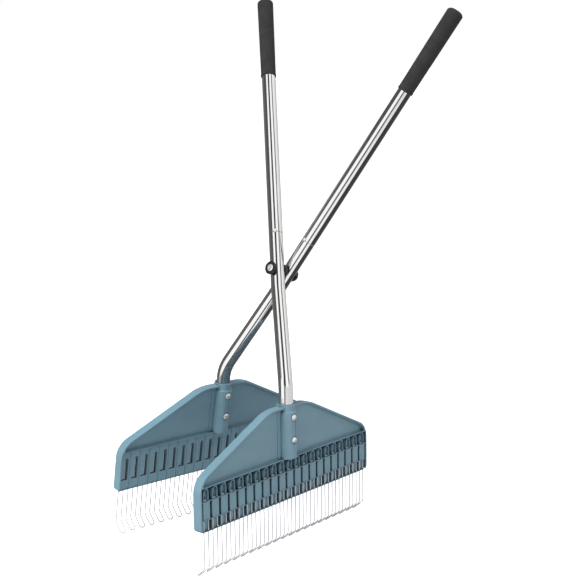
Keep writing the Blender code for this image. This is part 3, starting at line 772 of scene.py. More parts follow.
class Paint:
    """The finishes, each made once and put on pieces by slot."""

    def __init__(self) -> None:
        """Make every finish."""
        head = MouldedPlastic("moulded_blue_grey", (0.146, 0.258, 0.322), 0.44, 1700.0, 0.00008, 0.05)
        black = MouldedPlastic("moulded_black", (0.012, 0.012, 0.013), 0.36, 2200.0, 0.00006, 0.12)
        recipes = {
            Slot.STEEL: PolishedTube(), Slot.CHROME: BrightPlate(), Slot.WIRE: SpringWire(),
            Slot.GRIP: MattFoam(), Slot.HEAD_PLASTIC: head, Slot.BLACK_PLASTIC: black,
        }
        self.finishes = {slot: recipe.make() for slot, recipe in recipes.items()}

    def dress(self, piece: bpy.types.Object, slot: Slot, body: str, node: str) -> bpy.types.Object:
        """Put a finish on a piece, let it ride on its body and stand for its node.

        Args:
            piece: Object to dress.
            slot: Its finish.
            body: Body that it rides on.
            node: Node that it stands for.

        Returns:
            The same object.
        """
        piece.data.materials.clear()
        piece.data.materials.append(self.finishes[slot])
        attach(piece, body)
        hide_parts(node)
        log.info("%s stands for %s on %s", piece.name, node, body)
        return piece


def joint_named(name: str) -> dict:
    """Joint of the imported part, by name."""
    return next(joint for joint in frame["joints"] if joint["name"] == name)


@dataclass(frozen=True)
class HandleLine:
    """Centre line of one arm, from the hinge up into the grip and down to the foot of the head.

    The handle stands square to the bolt. The head is level where the jaws meet, and is turned
    from there with its arm.
    """

    arm: Arm
    spacing: float = 0.030
    tilt: float = math.radians(18.5)
    upper_spread: float = math.radians(23.2)
    lower_spread: float = math.radians(25.3)
    opened: float = math.radians(11.5)
    flare: float = math.radians(6.1)
    to_knee: float = 0.032
    to_bend: float = 0.213
    to_foot: float = 0.194

    @property
    def hinge(self) -> Matrix:
        """Frame of the hinge in the part's frame, its X along the bolt."""
        middle = Vector(joint_named("pivot")["pos_m"])
        return Matrix.Translation(middle) @ Matrix.Rotation(self.tilt, 4, "Y")

    def direction(self, spread: float) -> Vector:
        """Upward direction at an angle from the upright, square to the bolt."""
        return self.hinge.to_3x3() @ Vector((0.0, -self.arm.side * math.sin(spread), math.cos(spread)))

    @property
    def pivot(self) -> Vector:
        """Where the tube's centre line meets the hinge axis."""
        return self.hinge @ Vector((self.arm.side * self.spacing / 2, 0.0, 0.0))

    @property
    def upper(self) -> Vector:
        """Direction of the upper tube, upwards."""
        return self.direction(self.upper_spread)

    @property
    def lower(self) -> Vector:
        """Direction of the lower tube under its knee, upwards."""
        return self.direction(self.lower_spread)

    @property
    def head_turn(self) -> Matrix:
        """Turn of the head: X along its width, Y into the jaw, Z up the boss.

        Returns:
            The rotation.
        """
        opened = Matrix.Rotation(self.arm.side * self.opened, 3, "X")
        level = Matrix.Rotation(-self.tilt, 3, "Y")
        facing = Matrix.Rotation(0.0 if self.arm is Arm.A else math.pi, 3, "Z")
        return self.hinge.to_3x3() @ opened @ level @ facing @ Matrix.Rotation(self.flare, 3, "X")

    @property
    def entry(self) -> Vector:
        """Direction of the tube's end in the head, upwards."""
        return self.head_turn @ Vector((0.0, 0.0, 1.0))

    @property
    def knee(self) -> Vector:
        """Where the slight knee under the pivot turns."""
        return self.pivot - self.upper * self.to_knee

    @property
    def bend(self) -> Vector:
        """Where the main bend turns."""
        return self.knee - self.lower * (self.to_bend - self.to_knee)

    @property
    def foot(self) -> Vector:
        """Foot of the head, under the middle of its boss."""
        return self.bend - self.entry * self.to_foot

    @property
    def head(self) -> Matrix:
        """Frame of the head, with its foot's middle as zero."""
        return Matrix.Translation(self.foot) @ self.head_turn.to_4x4()


@dataclass(frozen=True)
class Tube:
    """Sizes of the handle tubes."""

    diameter: float = 0.025
    wall: float = 0.0012
    sides: int = 72

    @property
    def radius(self) -> float:
        """Outer radius."""
        return self.diameter / 2

    @property
    def bore(self) -> float:
        """Inner radius."""
        return self.radius - self.wall

    @property
    def fit(self) -> float:
        """Radius of a socket that takes the tube."""
        return self.radius + GAP


@dataclass(frozen=True)
class WireTine:
    """Centre line of one hooked hairpin of wire about the middle of its cell."""

    diameter: float = 0.0019
    leg_spacing: float = 0.0104
    straight: float = 0.0605
    hook: float = 0.024
    hook_angle: float = math.radians(49.0)
    elbow_radius: float = 0.0085
    corner_radius: float = 0.0019
    sides: int = 12

    @property
    def radius(self) -> float:
        """Radius of the wire."""
        return self.diameter / 2

    @property
    def leg(self) -> float:
        """Distance from the cell's middle to each leg."""
        return self.leg_spacing / 2


@dataclass
class RakeHead:
    """Moulded head with its boss, its 21 cells, two screws and a row of wire tines."""

    line: HandleLine
    paint: Paint
    tube: Tube = Tube()
    tine: WireTine = WireTine()
    width: float = 0.445
    thickness: float = 0.017
    top: float = 0.164
    corner: float = 0.008
    side_top: float = 0.0615
    shoulder: float = 0.035
    shoulder_slope: float = math.radians(25.0)
    crown: float = 0.090
    rim: float = 0.0035
    rim_round: float = 0.0014
    lip: float = 0.0007
    fillet: float = 0.0018
    web: float = 0.003
    inner_recess: float = 0.007
    row_top: float = 0.0725
    row_window: float = 0.0502
    row_cell: float = 0.0202
    rail: float = 0.0014
    plate: float = 0.0065
    row_recess: float = 0.0010
    row_step: float = 0.0012
    lip_height: float = 0.0016
    rail_rise: float = 0.0009
    rail_width: float = 0.0017
    rib_width: float = 0.0012
    gap_floor: float = 0.0013
    cell_lip: float = 0.0003
    panel_recess: float = 0.0008
    divider: float = 0.0012
    boss: float = 0.036
    boss_shoulder: float = 0.154
    collar: float = 0.0318
    collar_rise: float = 0.003
    flange: float = 0.052
    flange_thickness: float = 0.005
    socket_floor: float = 0.0035
    screw: float = 0.0050
    screw_head: float = 0.0112
    screw_head_height: float = 0.0032
    screw_heights: tuple[float, float] = (0.105, 0.1445)
    seat: float = 0.0134
    seat_depth: float = 0.0018
    strip: float = 0.0090
    strip_depth: float = 0.0012
    cells: int = 21
    pitch: float = 0.0208
    cell_width: float = 0.0132
    cell_gap: float = 0.0051
    low_gap: float = 0.0062
    slot_width: float = 0.0068
    slot_top: float = 0.0600
    arch_width: float = 0.0094
    arch_top: float = 0.0700

    @property
    def letter(self) -> str:
        """Letter of the arm."""
        return self.line.arm.value

    @property
    def outer_face(self) -> float:
        """Depth of the face that looks out of the jaw."""
        return self.thickness / 2

    @property
    def inner_face(self) -> float:
        """Depth of the face that looks into the jaw."""
        return -self.thickness / 2

    @property
    def row_front(self) -> float:
        """Depth of the cells' front, behind the rim."""
        return self.outer_face - self.row_recess

    @property
    def row_inner(self) -> float:
        """Depth of the rows' inner face, just proud of the inner panel."""
        return self.inner_face + self.inner_recess - self.row_step

    @property
    def row_side(self) -> float:
        """Distance from the middle to the rim beside the rows."""
        return self.width / 2 - self.rim

    @property
    def plate_back(self) -> float:
        """Depth of the back of the plate that the cells stand on."""
        return self.row_inner + self.plate

    @property
    def wire_depth(self) -> float:
        """Depth of the tines' legs."""
        return self.plate_back + GAP + self.tine.radius

    @property
    def centres(self) -> list[float]:
        """Middle of each cell across the head."""
        first = -(self.cells - 1) / 2 * self.pitch
        return [first + index * self.pitch for index in range(self.cells)]

    @property
    def screw_hole(self) -> float:
        """Radius of the holes for the screws."""
        return self.screw / 2 + GAP

    @property
    def slot_start(self) -> float:
        """Where the slot beside a leg starts, from the middle of its cell."""
        return -self.tine.leg - self.tine.radius - GAP

    def outline(self) -> Outline:
        """Outline of the head across and up, bottom right corner first.

        Returns:
            Its corners, anticlockwise.
        """
        half = self.width / 2
        low = arc((half - self.corner, self.corner), self.corner, -QUARTER, 0.0, 8)
        turn = QUARTER - self.shoulder_slope
        shoulder = arc((half - self.shoulder, self.side_top), self.shoulder, 0.0, turn, 14)
        rise = self.top - self.crown * (1 - math.cos(self.shoulder_slope)) - shoulder[-1].y
        run = rise / math.tan(self.shoulder_slope) + self.crown * math.sin(self.shoulder_slope)
        middle = (shoulder[-1].x - run, self.top - self.crown)
        right = low + shoulder + arc(middle, self.crown, turn, QUARTER, 10)
        return right + [Vector((-point.x, point.y)) for point in reversed(right)]

    def tray(self) -> Outline:
        """Outline of the recessed panel inside the rim, above the cells.

        Returns:
            Its corners, anticlockwise.
        """
        floor = self.row_top + self.rail
        clear = floor + 2 * self.fillet
        inside = [point for point in offset_outline(self.outline(), -self.rim) if point.y > clear]
        ends = [Vector((-inside[0].x, floor)), Vector((inside[0].x, floor))]
        return ends + inside

    def shell(self) -> Sketch:
        """Rounded slab that the head is cut from.

        Returns:
            The slab.
        """
        sketch = Sketch()
        sketch.slab(self.outline(), self.inner_face, self.outer_face, self.rim_round)
        return sketch

    def trays(self) -> Sketch:
        """Cutters for the panels on both faces, which leave the web.

        Returns:
            The cutters.
        """
        sketch = Sketch()
        tray = self.tray()
        web_inner = self.inner_face + self.inner_recess
        sketch.pressed(tray, web_inner + self.web, self.outer_face, self.lip, self.fillet)
        sketch.pressed(tray, web_inner, self.inner_face, self.lip, self.fillet)
        return sketch

    def row_recesses(self) -> Sketch:
        """Cutters that set the rows back from the rim on both faces, open at the foot.

        Returns:
            The cutters.
        """
        sketch = Sketch()
        band = rectangle((-self.row_side, self.row_side), (-self.rim, self.row_top))
        sketch.pressed(band, self.row_front, self.outer_face, self.cell_lip)
        sketch.pressed(band, self.row_inner, self.inner_face, self.lip, self.fillet / 2)
        return sketch

    def cross_rails(self) -> Sketch:
        """Two thin rails across the front of the rows.

        Returns:
            The rails.
        """
        sketch = Sketch()
        half = self.rail_width / 2
        reach = self.row_side + half
        low, high = self.row_front - self.rail_width, self.row_front + self.rail_rise
        for height in (self.row_cell, self.row_window):
            band = rectangle((-reach, reach), (height - half, height + half))
            sketch.slab(band, low, high, self.cell_lip)
        return sketch

    def low_row(self) -> Sketch:
        """Cutter that lowers the walls of the bottom row to the middle of the wires.

        Returns:
            The cutter.
        """
        sketch = Sketch()
        side = self.row_side - self.cell_lip
        band = rectangle((-side, side), (self.lip_height, self.row_cell - self.rail / 2))
        sketch.pressed(band, self.wire_depth, self.row_front, self.cell_lip)
        return sketch

    def window_row(self) -> Sketch:
        """Cutter that sinks the row of windows to their floor beside the arches.

        Returns:
            The cutter.
        """
        sketch = Sketch()
        side = self.row_side - self.cell_lip
        band = rectangle((-side, side), (self.row_window + self.rail / 2, self.row_top - self.rail / 2))
        sketch.pressed(band, self.plate_back + self.cell_lip, self.row_front, self.cell_lip)
        return sketch

    def window(self, centre: float) -> Outline:
        """Outline of the arched window of one cell.

        Args:
            centre: Middle of the cell.

        Returns:
            Its corners, anticlockwise.
        """
        radius, left = self.arch_width / 2, centre + self.slot_start
        sill = self.row_window + self.rail / 2
        foot = [Vector((left, sill)), Vector((left + self.arch_width, sill))]
        return foot + arc((left + radius, self.arch_top - radius), radius, 0.0, math.pi, 12)

    def arch_ribs(self) -> Sketch:
        """Raised ribs round the arched windows.

        Returns:
            The ribs.
        """
        sketch = Sketch()
        low, high = self.plate_back - self.cell_lip, self.row_front + self.rail_rise
        for centre in self.centres:
            sketch.slab(offset_outline(self.window(centre), self.rib_width), low, high, self.cell_lip)
        return sketch

    def bottom_lip(self) -> Sketch:
        """Lip across the foot of the cells, round the wires.

        Returns:
            The lip.
        """
        sketch = Sketch()
        # The lip ends inside the wall between the last cell and the gap beside it.
        end = self.centres[-1] + (self.pitch + self.cell_width - self.cell_gap) / 4
        band = rectangle((-end, end), (GAP, self.lip_height))
        sketch.slab(band, self.plate_back - self.cell_lip * 2, self.row_front - GAP, self.cell_lip)
        return sketch

    def leg_drills(self) -> Sketch:
        """Drills for the legs of the tines through the lip.

        Returns:
            The drills.
        """
        sketch = Sketch()
        low, high = -self.rail, self.lip_height + self.rail
        for centre in self.centres:
            for across in (centre - self.tine.leg, centre + self.tine.leg):
                ends = [Vector((across, -self.wire_depth, up)) for up in (low, high)]
                sketch.rod(ends[0], ends[1], self.tine.radius + GAP, self.tine.sides)
        return sketch

    def flange_plate(self) -> Sketch:
        """Low pad beside the boss.

        Returns:
            The pad.
        """
        half = self.flange / 2
        middle = self.inner_face + self.inner_recess + self.web / 2
        depth = (middle - self.flange_thickness / 2, middle + self.flange_thickness / 2)
        sketch = Sketch()
        outline = rectangle((-half, half), (self.row_top, self.top - self.rim / 2))
        sketch.slab(outline, depth[0], depth[1], self.cell_lip * 2)
        return sketch

    def boss_body(self) -> Sketch:
        """Half-round boss with a collar at its mouth.

        Returns:
            The boss, filled.
        """
        radius, collar, soft = self.boss / 2, self.collar / 2, self.lip
        step = self.boss_shoulder + radius - collar
        mouth = self.top + self.collar_rise
        profile = [(0.0, self.row_top + self.rail / 2), (radius, self.row_top + self.rail / 2)]
        profile += [(radius, self.boss_shoulder - soft)]
        profile += [(radius - soft * 0.3, self.boss_shoulder + soft * 0.2)]
        profile += [(collar + soft * 0.3, step - soft * 0.3), (collar, step + soft)]
        profile += turned_edge((collar - soft, mouth - soft), soft, 0.0, QUARTER, 4)
        profile += [(0.0, mouth)]
        sketch = Sketch()
        sketch.turned(profile, self.tube.sides)
        return sketch

    def socket(self) -> Sketch:
        """Cutter for the socket that takes the tube, with an eased mouth.

        Returns:
            The cutter.
        """
        mouth, fit, soft = self.top + self.collar_rise, self.tube.fit, self.lip
        profile = [(0.0, self.row_top + self.socket_floor), (fit, self.row_top + self.socket_floor)]
        profile += [(fit, mouth - soft), (fit + soft * 0.3, mouth - soft * 0.3), (fit + soft, mouth)]
        profile += [(fit + soft, mouth + soft), (0.0, mouth + soft)]
        sketch = Sketch()
        sketch.turned(profile, self.tube.sides)
        return sketch

    def screw_seats(self, way: float) -> Sketch:
        """Round seats for the screw heads on one face of the boss.

        Args:
            way: 1 for the outer face, -1 for the inner one.

        Returns:
            The cutter.
        """
        sketch = Sketch()
        radius, start = self.seat / 2, self.boss / 2 - self.seat_depth
        for height in self.screw_heights:
            place = Matrix.Translation((0.0, 0.0, height)) @ Matrix.Rotation(way * QUARTER, 4, "X")
            profile = [(0.0, start), (radius, start), (radius, self.boss), (0.0, self.boss)]
            sketch.turned(profile, SCREW_SIDES, place)
        return sketch

    def flats(self) -> Sketch:
        """Flat strip that joins the two seats on each face.

        Returns:
            The cutters.
        """
        sketch = Sketch()
        reach = self.seat * 0.35
        up = (self.screw_heights[0] + reach, self.screw_heights[1] - reach)
        outline = rectangle((-self.strip / 2, self.strip / 2), up)
        low = self.boss / 2 - self.strip_depth
        for way in (-1.0, 1.0):
            sketch.stacked([(outline, way * low), (outline, way * self.boss)])
        return sketch

    def screw_drills(self) -> Sketch:
        """Drills for the two through screws.

        Returns:
            The drills.
        """
        sketch = Sketch()
        for height in self.screw_heights:
            ends = [Vector((0.0, way * self.boss, height)) for way in (-1, 1)]
            sketch.rod(ends[0], ends[1], self.screw_hole, HOLE_SIDES)
        return sketch

    def cell_pockets(self) -> Sketch:
        """Cells, arched windows and the deep gaps between them, open to the front.

        Returns:
            The cutters.
        """
        sketch = Sketch()
        half, rail = self.cell_width / 2, self.rail / 2
        for centre in self.centres:
            box = rectangle((centre - half, centre + half), (-self.rim, self.row_cell - rail))
            sketch.pressed(box, self.plate_back, self.row_front, self.cell_lip)
            sketch.pressed(self.window(centre), self.plate_back, self.row_front, self.cell_lip)
        rows = [(self.low_gap / 2, (-self.rim, self.row_cell - rail))]
        rows.append((self.cell_gap / 2, (self.row_cell + rail, self.row_window - rail)))
        rows.append((self.cell_gap / 2, (self.row_window + rail, self.row_top - rail)))
        middles = [centre + self.pitch / 2 for centre in self.centres[:-1]]
        floor = self.row_inner + self.gap_floor
        for reach, row in rows:
            first = self.centres[-1] + self.pitch / 2 - reach
            spans = [(middle - reach, middle + reach) for middle in middles]
            spans += [(first, self.row_side - self.cell_lip), (self.cell_lip - self.row_side, -first)]
            for across in spans:
                sketch.pressed(rectangle(across, row), floor, self.row_front, self.cell_lip)
        return sketch

    def inner_panels(self) -> Sketch:
        """Shallow panels in the inner face, with thin dividers between the cells.

        Returns:
            The cutters.
        """
        sketch = Sketch()
        half = (self.pitch - self.divider) / 2
        for centre in self.centres:
            panel = rectangle((centre - half, centre + half), (self.rail, self.row_top - self.rail))
            floor = self.row_inner + self.panel_recess
            sketch.pressed(panel, floor, self.row_inner, self.cell_lip / 2)
        return sketch

    def wire_slots(self) -> Sketch:
        """L-shaped slots in the inner face that show each wire and its foot.

        Returns:
            The cutters.
        """
        sketch = Sketch()
        spare = self.tine.radius + GAP
        start, end, far = self.slot_start, self.slot_start + self.slot_width, self.tine.leg + spare
        low, high = self.row_cell - spare, self.row_cell + spare
        depth = self.wire_depth + spare
        for centre in self.centres:
            toe = arc((centre + far - spare, self.row_cell), spare, -QUARTER, QUARTER, 8)
            crown = arc((centre + (start + end) / 2, self.slot_top - self.slot_width / 2),
                        self.slot_width / 2, 0.0, math.pi, 12)
            outline = [Vector((centre + start, low))] + toe + [Vector((centre + end, high))] + crown
            sketch.stacked([(outline, depth), (outline, self.inner_face - self.rail)])
        return sketch

    def moulding(self) -> bpy.types.Object:
        """Make the moulded head.

        Returns:
            The dressed head.
        """
        piece = self.shell().piece("moulded_head_" + self.letter, self.line.head)
        jobs = [
            (self.trays(), Carve.CUT), (self.row_recesses(), Carve.CUT),
            (self.flange_plate(), Carve.JOIN), (self.boss_body(), Carve.JOIN), (self.socket(), Carve.CUT),
            (self.screw_seats(1.0), Carve.CUT), (self.screw_seats(-1.0), Carve.CUT),
            (self.flats(), Carve.CUT), (self.screw_drills(), Carve.CUT),
            (self.low_row(), Carve.CUT), (self.window_row(), Carve.CUT),
            (self.cross_rails(), Carve.JOIN), (self.arch_ribs(), Carve.JOIN),
            (self.cell_pockets(), Carve.CUT), (self.inner_panels(), Carve.CUT),
            (self.wire_slots(), Carve.CUT), (self.bottom_lip(), Carve.JOIN), (self.leg_drills(), Carve.CUT),
        ]
        carve(piece, jobs, self.line.head)
        shade(piece)
        return self.paint.dress(piece, Slot.HEAD_PLASTIC, self.line.arm.body, "head_" + self.letter)

    def screw_body(self) -> Sketch:
        """Through screw along the boss's Y axis with a domed head at both ends.

        Returns:
            The screw without its recesses.
        """
        seat = self.boss / 2 - self.seat_depth + GAP
        head, height = self.screw_head / 2, self.screw_head_height
        dome = [(head * out, seat + height * (0.25 + 0.75 * up))
                for out, up in arc((0.0, 0.0), 1.0, 0.0, math.radians(84), 8)]
        half = [(0.0, seat + height)] + list(reversed(dome)) + [(head, seat), (self.screw / 2, seat)]
        profile = [(radius, -up) for radius, up in half] + list(reversed(half))
        sketch = Sketch()
        sketch.turned(profile, SCREW_SIDES, Matrix.Rotation(QUARTER, 4, "X"))
        return sketch

    def driver_recess(self) -> Sketch:
        """Cross recess in both heads of a screw, tapered to its floor.

        Returns:
            The cutters.
        """
        sketch = Sketch()
        crown = self.boss / 2 - self.seat_depth + GAP + self.screw_head_height
        floor = crown - self.screw_head_height * 0.55
        long, wide = self.screw_head * 0.24, self.screw_head * 0.055
        right = [(long, -wide), (long, wide), (wide, wide)]
        for way in (-1.0, 1.0):
            cross = []
            for turn in range(4):
                spin = Matrix.Rotation(turn * QUARTER, 2)
                cross += [spin @ Vector(point) for point in right]
            narrow = [point * 0.6 for point in cross]
            sketch.stacked([(narrow, way * floor), (cross, way * crown), (cross, way * self.boss)])
        return sketch

    def screws(self) -> list[bpy.types.Object]:
        """Make the two through screws of the boss.

        Returns:
            The dressed screws.
        """
        made = []
        for index, height in enumerate(self.screw_heights):
            number = str(index + 1)
            place = self.line.head @ Matrix.Translation((0.0, 0.0, height))
            piece = self.screw_body().piece("boss_screw_" + self.letter + "_" + number, place)
            carve(piece, [(self.driver_recess(), Carve.CUT)], place)
            shade(piece)
            node = "head_screw_" + self.letter + "_" + number
            made.append(self.paint.dress(piece, Slot.CHROME, self.line.arm.body, node))
        return made

    def tine_line(self) -> list[Vector]:
        """Centre line of one tine: sill, slot, leg, hooked tip, other leg and foot.

        Returns:
            Points from the end on the sill to the end of the foot.
        """
        tine, leg, back = self.tine, self.tine.leg, self.wire_depth
        spare = GAP + tine.radius
        sill = self.row_window + self.rail / 2 + spare
        out = Vector((0.0, -math.sin(tine.hook_angle), -math.cos(tine.hook_angle)))
        elbow = Vector((-leg, back, -tine.straight))
        tip = Vector((0.0, back, -tine.straight)) + out * (tine.hook - leg)
        runs = [Vector((self.slot_start + self.arch_width - spare, back, sill)), Vector((-leg, back, sill))]
        runs += [elbow, tip + Vector((-leg, 0.0, 0.0))]
        bends = [(tine.corner_radius, 4), (tine.elbow_radius, 7)]
        points = [runs[0]]
        for index, (radius, steps) in enumerate(bends):
            points += rounded_corner(runs[index], runs[index + 1], runs[index + 2], radius, steps)
        elbow_turn = points[-8:]
        for point in arc((0.0, 0.0), leg, math.pi, 0.0, 12):
            points.append(tip + Vector((point.x, 0.0, 0.0)) + out * point.y)
        points += [Vector((-point.x, point.y, point.z)) for point in reversed(elbow_turn)]
        toe = Vector((-leg + tine.diameter + GAP, back, self.row_cell))
        shoulder = Vector((leg, back, self.row_cell))
        points += rounded_corner(shoulder - Vector((0.0, 0.0, leg)), shoulder, toe, tine.corner_radius, 4)
        points.append(toe)
        return [Vector((point.x, -point.y, point.z)) for point in points]

    def tines(self) -> list[bpy.types.Object]:
        """Make one wire tine for each cell, all sharing one mesh.

        Returns:
            The dressed tines.
        """
        points = self.tine_line()
        wire = Sketch()
        wire.swept(points, [self.tine.radius] * len(points), self.tine.sides)
        first = wire.piece("first_tine_" + self.letter, self.line.head_turn.to_4x4())
        first.data.shade_smooth()
        first.data.set_sharp_from_angle(angle=math.radians(50.0))
        mesh = first.data
        bpy.data.objects.remove(first, do_unlink=True)
        made = []
        for index, centre in enumerate(self.centres):
            number = format(index + 1, "02d")
            tine = bpy.data.objects.new("wire_tine_" + self.letter + "_" + number, mesh)
            bpy.context.scene.collection.objects.link(tine)
            tine.location = self.line.head @ Vector((centre, 0.0, 0.0))
            node = "tine_" + self.letter + "_" + number
            made.append(self.paint.dress(tine, Slot.WIRE, self.line.arm.body, node))
        return made


@dataclass
class Handle:
    """One handle: its upper and lower tube, the foam grip and the spring button between them."""

    line: HandleLine
    head: RakeHead
    paint: Paint
    tube: Tube = Tube()
    seam: float = 0.0675
    tube_top: float = 0.5285
    neck_length: float = 0.050
    neck_wall: float = 0.0010
    knee_radius: float = 0.120
    bend_radius: float = 0.070
    edge: float = 0.00035
    grip_length: float = 0.159
    grip_foot: float = 0.0275
    grip_crown: float = 0.0296
    grip_dome: float = 0.007
    grip_lip: float = 0.0012
    grip_ease: float = 0.00005
    grip_sides: int = 64
    grip_crease: float = 40.0
    screw_hole_sides: int = 24
    button_diameter: float = 0.0065
    button_above_seam: float = 0.002
    button_proud: float = 0.0026
    button_sides: int = 40
    button_crease: float = 38.0
    leaf_width: float = 0.007
    leaf_thickness: float = 0.0007
    leaf_length: float = 0.021
    leaf_spread: float = 0.0115

    @property
    def letter(self) -> str:
        """Letter of the arm."""
        return self.line.arm.value

    @property
    def neck(self) -> float:
        """Radius of the drawn-down neck inside the upper tube."""
        return self.tube.bore - GAP

    @property
    def button_frame(self) -> Matrix:
        """Frame of the spring button: X points out of the tube, Z along it.

        Returns:
            The frame.
        """
        seat = self.line.pivot + self.line.upper * (self.seam + self.button_above_seam)
        out = -Vector(joint_named("button_" + self.letter + "_press")["axis"])
        basis = Matrix((out, self.line.upper.cross(out), self.line.upper)).transposed().to_4x4()
        return Matrix.Translation(seat) @ basis

    def button_drill(self) -> Sketch:
        """Drill for the button's hole through one wall, in the part's frame.

        Returns:
            The drill.
        """
        drill = Sketch()
        turn = self.button_frame @ Matrix.Rotation(QUARTER, 4, "Y")
        radius = self.button_diameter / 2 + GAP
        drill.turned([(radius, self.neck / 2), (radius, self.tube.diameter)], HOLE_SIDES, turn)
        return drill

    def upper_tube(self) -> bpy.types.Object:
        """Make the plain tube from the seam up into the grip.

        Returns:
            The dressed tube.
        """
        low = self.seam + GAP
        inner = [(self.tube.bore, self.tube_top), (self.tube.bore, low)]
        foot = [(self.tube.radius - self.edge, low), (self.tube.radius, low + self.edge)]
        top = [(self.tube.radius, self.tube_top - self.edge), (self.tube.radius - self.edge, self.tube_top)]
        tube = Sketch()
        place = along(self.line.upper, self.line.pivot)
        tube.turned(foot + top + inner, self.tube.sides, place, hollow=True)
        piece = tube.piece("upper_handle_tube_" + self.letter)
        carve(piece, [(self.button_drill(), Carve.CUT)])
        shade(piece)
        return self.paint.dress(piece, Slot.STEEL, self.line.arm.body, "upper_tube_" + self.letter)

    def lower_stations(self) -> list[tuple[Vector, float, float]]:
        """Points of the lower tube with its outer and inner radius, from the neck to the socket.

        Returns:
            A point, an outer and an inner radius for each station.
        """
        line, radius, bore = self.line, self.tube.radius, self.tube.bore
        at_seam = line.pivot + line.upper * self.seam
        inner = self.neck - self.neck_wall
        ease = line.upper * self.edge
        stations = [(at_seam + line.upper * self.neck_length, self.neck - self.edge, inner)]
        stations += [(at_seam + line.upper * self.neck_length - ease, self.neck, inner)]
        stations += [(at_seam + ease * 0.1, self.neck, inner), (at_seam, radius - self.edge, inner)]
        stations += [(at_seam - ease, radius, inner)]
        stations += [(at_seam - line.upper * 3 * self.tube.wall, radius, bore)]
        knee = rounded_corner(at_seam, line.knee, line.bend, self.knee_radius, 4)
        bend = rounded_corner(line.knee, line.bend, line.foot, self.bend_radius, 18)
        end = line.foot + line.entry * (self.head.row_top + self.head.socket_floor + GAP)
        return stations + [(point, radius, bore) for point in knee + bend + [end]]

    def lower_tube(self, bolt_hole: float) -> bpy.types.Object:
        """Make the bent tube with its neck, drilled for the bolt and the head screws.

        Args:
            bolt_hole: Radius of the hole for the bolt.

        Returns:
            The dressed tube.
        """
        points, outer, inner = zip(*self.lower_stations())
        tube = Sketch()
        places = path_frames(points)
        outside = [tube.ring(place, radius, self.tube.sides) for place, radius in zip(places, outer)]
        inside = [tube.ring(place, radius, self.tube.sides) for place, radius in zip(places, inner)]
        tube.chain(outside, points)
        distance = tube.chain(inside, points)
        tube.join(outside[0], inside[0])
        tube.join(outside[-1], inside[-1], distance, distance)
        piece = tube.piece("lower_handle_tube_" + self.letter)
        drills = Sketch()
        reach = self.line.hinge.to_3x3() @ Vector((self.tube.diameter, 0.0, 0.0))
        drills.rod(self.line.pivot - reach, self.line.pivot + reach, bolt_hole, HOLE_SIDES)
        for height in self.head.screw_heights:
            ends = [self.line.head @ Vector((0.0, way * self.tube.diameter, height)) for way in (-1, 1)]
            drills.rod(ends[0], ends[1], self.head.screw_hole, self.screw_hole_sides)
        carve(piece, [(self.button_drill(), Carve.CUT), (drills, Carve.CUT)])
        shade(piece)
        return self.paint.dress(piece, Slot.STEEL, self.line.arm.body, "lower_tube_" + self.letter)

    def grip(self) -> bpy.types.Object:
        """Make the slip-on grip with a rolled foot and a domed closed top.

        Returns:
            The dressed grip.
        """
        foot, crown = self.grip_foot / 2, self.grip_crown / 2
        bore_top = self.grip_length - self.grip_dome
        roll = self.grip_lip * 0.6
        profile = [(0.0, bore_top), (self.tube.fit, bore_top), (self.tube.fit, roll / 2)]
        bead = foot + self.grip_lip * 0.4
        profile += turned_edge((bead - roll, roll), roll, -QUARTER * 1.6, 0.0, 6)
        start = 4 * self.grip_lip
        profile += [(bead, 3 * self.grip_lip), (foot + self.grip_ease, start)]
        for share in (0.3, 0.6, 1.0):
            profile.append((foot + (crown - foot) * share, start + (bore_top - start) * share))
        for out, up in arc((0.0, 0.0), 1.0, math.radians(10), math.radians(84), 10):
            profile.append((crown * (0.25 + 0.75 * out), bore_top + self.grip_dome * up))
        profile.append((0.0, self.grip_length))
        sketch = Sketch()
        base = self.line.pivot + self.line.upper * (self.tube_top + GAP - bore_top)
        sketch.turned(profile, self.grip_sides, along(self.line.upper, base))
        piece = sketch.piece("foam_grip_" + self.letter)
        shade(piece, self.grip_crease)
        return self.paint.dress(piece, Slot.GRIP, self.line.arm.body, "grip_" + self.letter)

    def spring_button(self) -> bpy.types.Object:
        """Make the button on its folded leaf, sprung out through both tubes.

        Returns:
            The dressed button.
        """
        seat = self.neck - self.neck_wall - 2 * self.leaf_thickness
        fold = self.leaf_spread * 0.35
        path = [Vector((seat, 0.0, self.button_diameter * 0.8))]
        path.append(Vector((seat, 0.0, -self.leaf_length * 0.75)))
        middle = (seat - fold, -self.leaf_length * 0.8)
        for out, up in arc(middle, fold, 0.0, -math.pi * 0.95, 10):
            path.append(Vector((out, 0.0, up)))
        path.append(Vector((seat - self.leaf_spread, 0.0, self.button_diameter * 0.5)))
        leaf = Sketch()
        rings = []
        for index, point in enumerate(path):
            after, before = path[min(index + 1, len(path) - 1)], path[max(index - 1, 0)]
            run = (after - before).normalized()
            thick = Vector((0.0, 1.0, 0.0)).cross(run) * self.leaf_thickness / 2
            wide = Vector((0.0, self.leaf_width / 2, 0.0))
            corners = (thick + wide, thick - wide, -thick - wide, -thick + wide)
            rings.append([leaf.mesh.verts.new(point + corner) for corner in corners])
        for first, second in zip(rings, rings[1:]):
            leaf.join(first, second)
        leaf.mesh.faces.new(rings[0])
        leaf.mesh.faces.new(rings[-1])
        piece = leaf.piece("spring_button_" + self.letter, self.button_frame)
        radius, top = self.button_diameter / 2, self.tube.radius + self.button_proud
        crown = radius * 0.5
        profile = [(radius, seat)]
        profile += [(radius * out, top - crown + crown * up)
                    for out, up in arc((0.0, 0.0), 1.0, 0.0, QUARTER * 0.93, 8)]
        profile.append((0.0, top))
        button = Sketch()
        button.turned(profile, self.button_sides, Matrix.Rotation(QUARTER, 4, "Y"))
        carve(piece, [(button, Carve.JOIN)], self.button_frame)
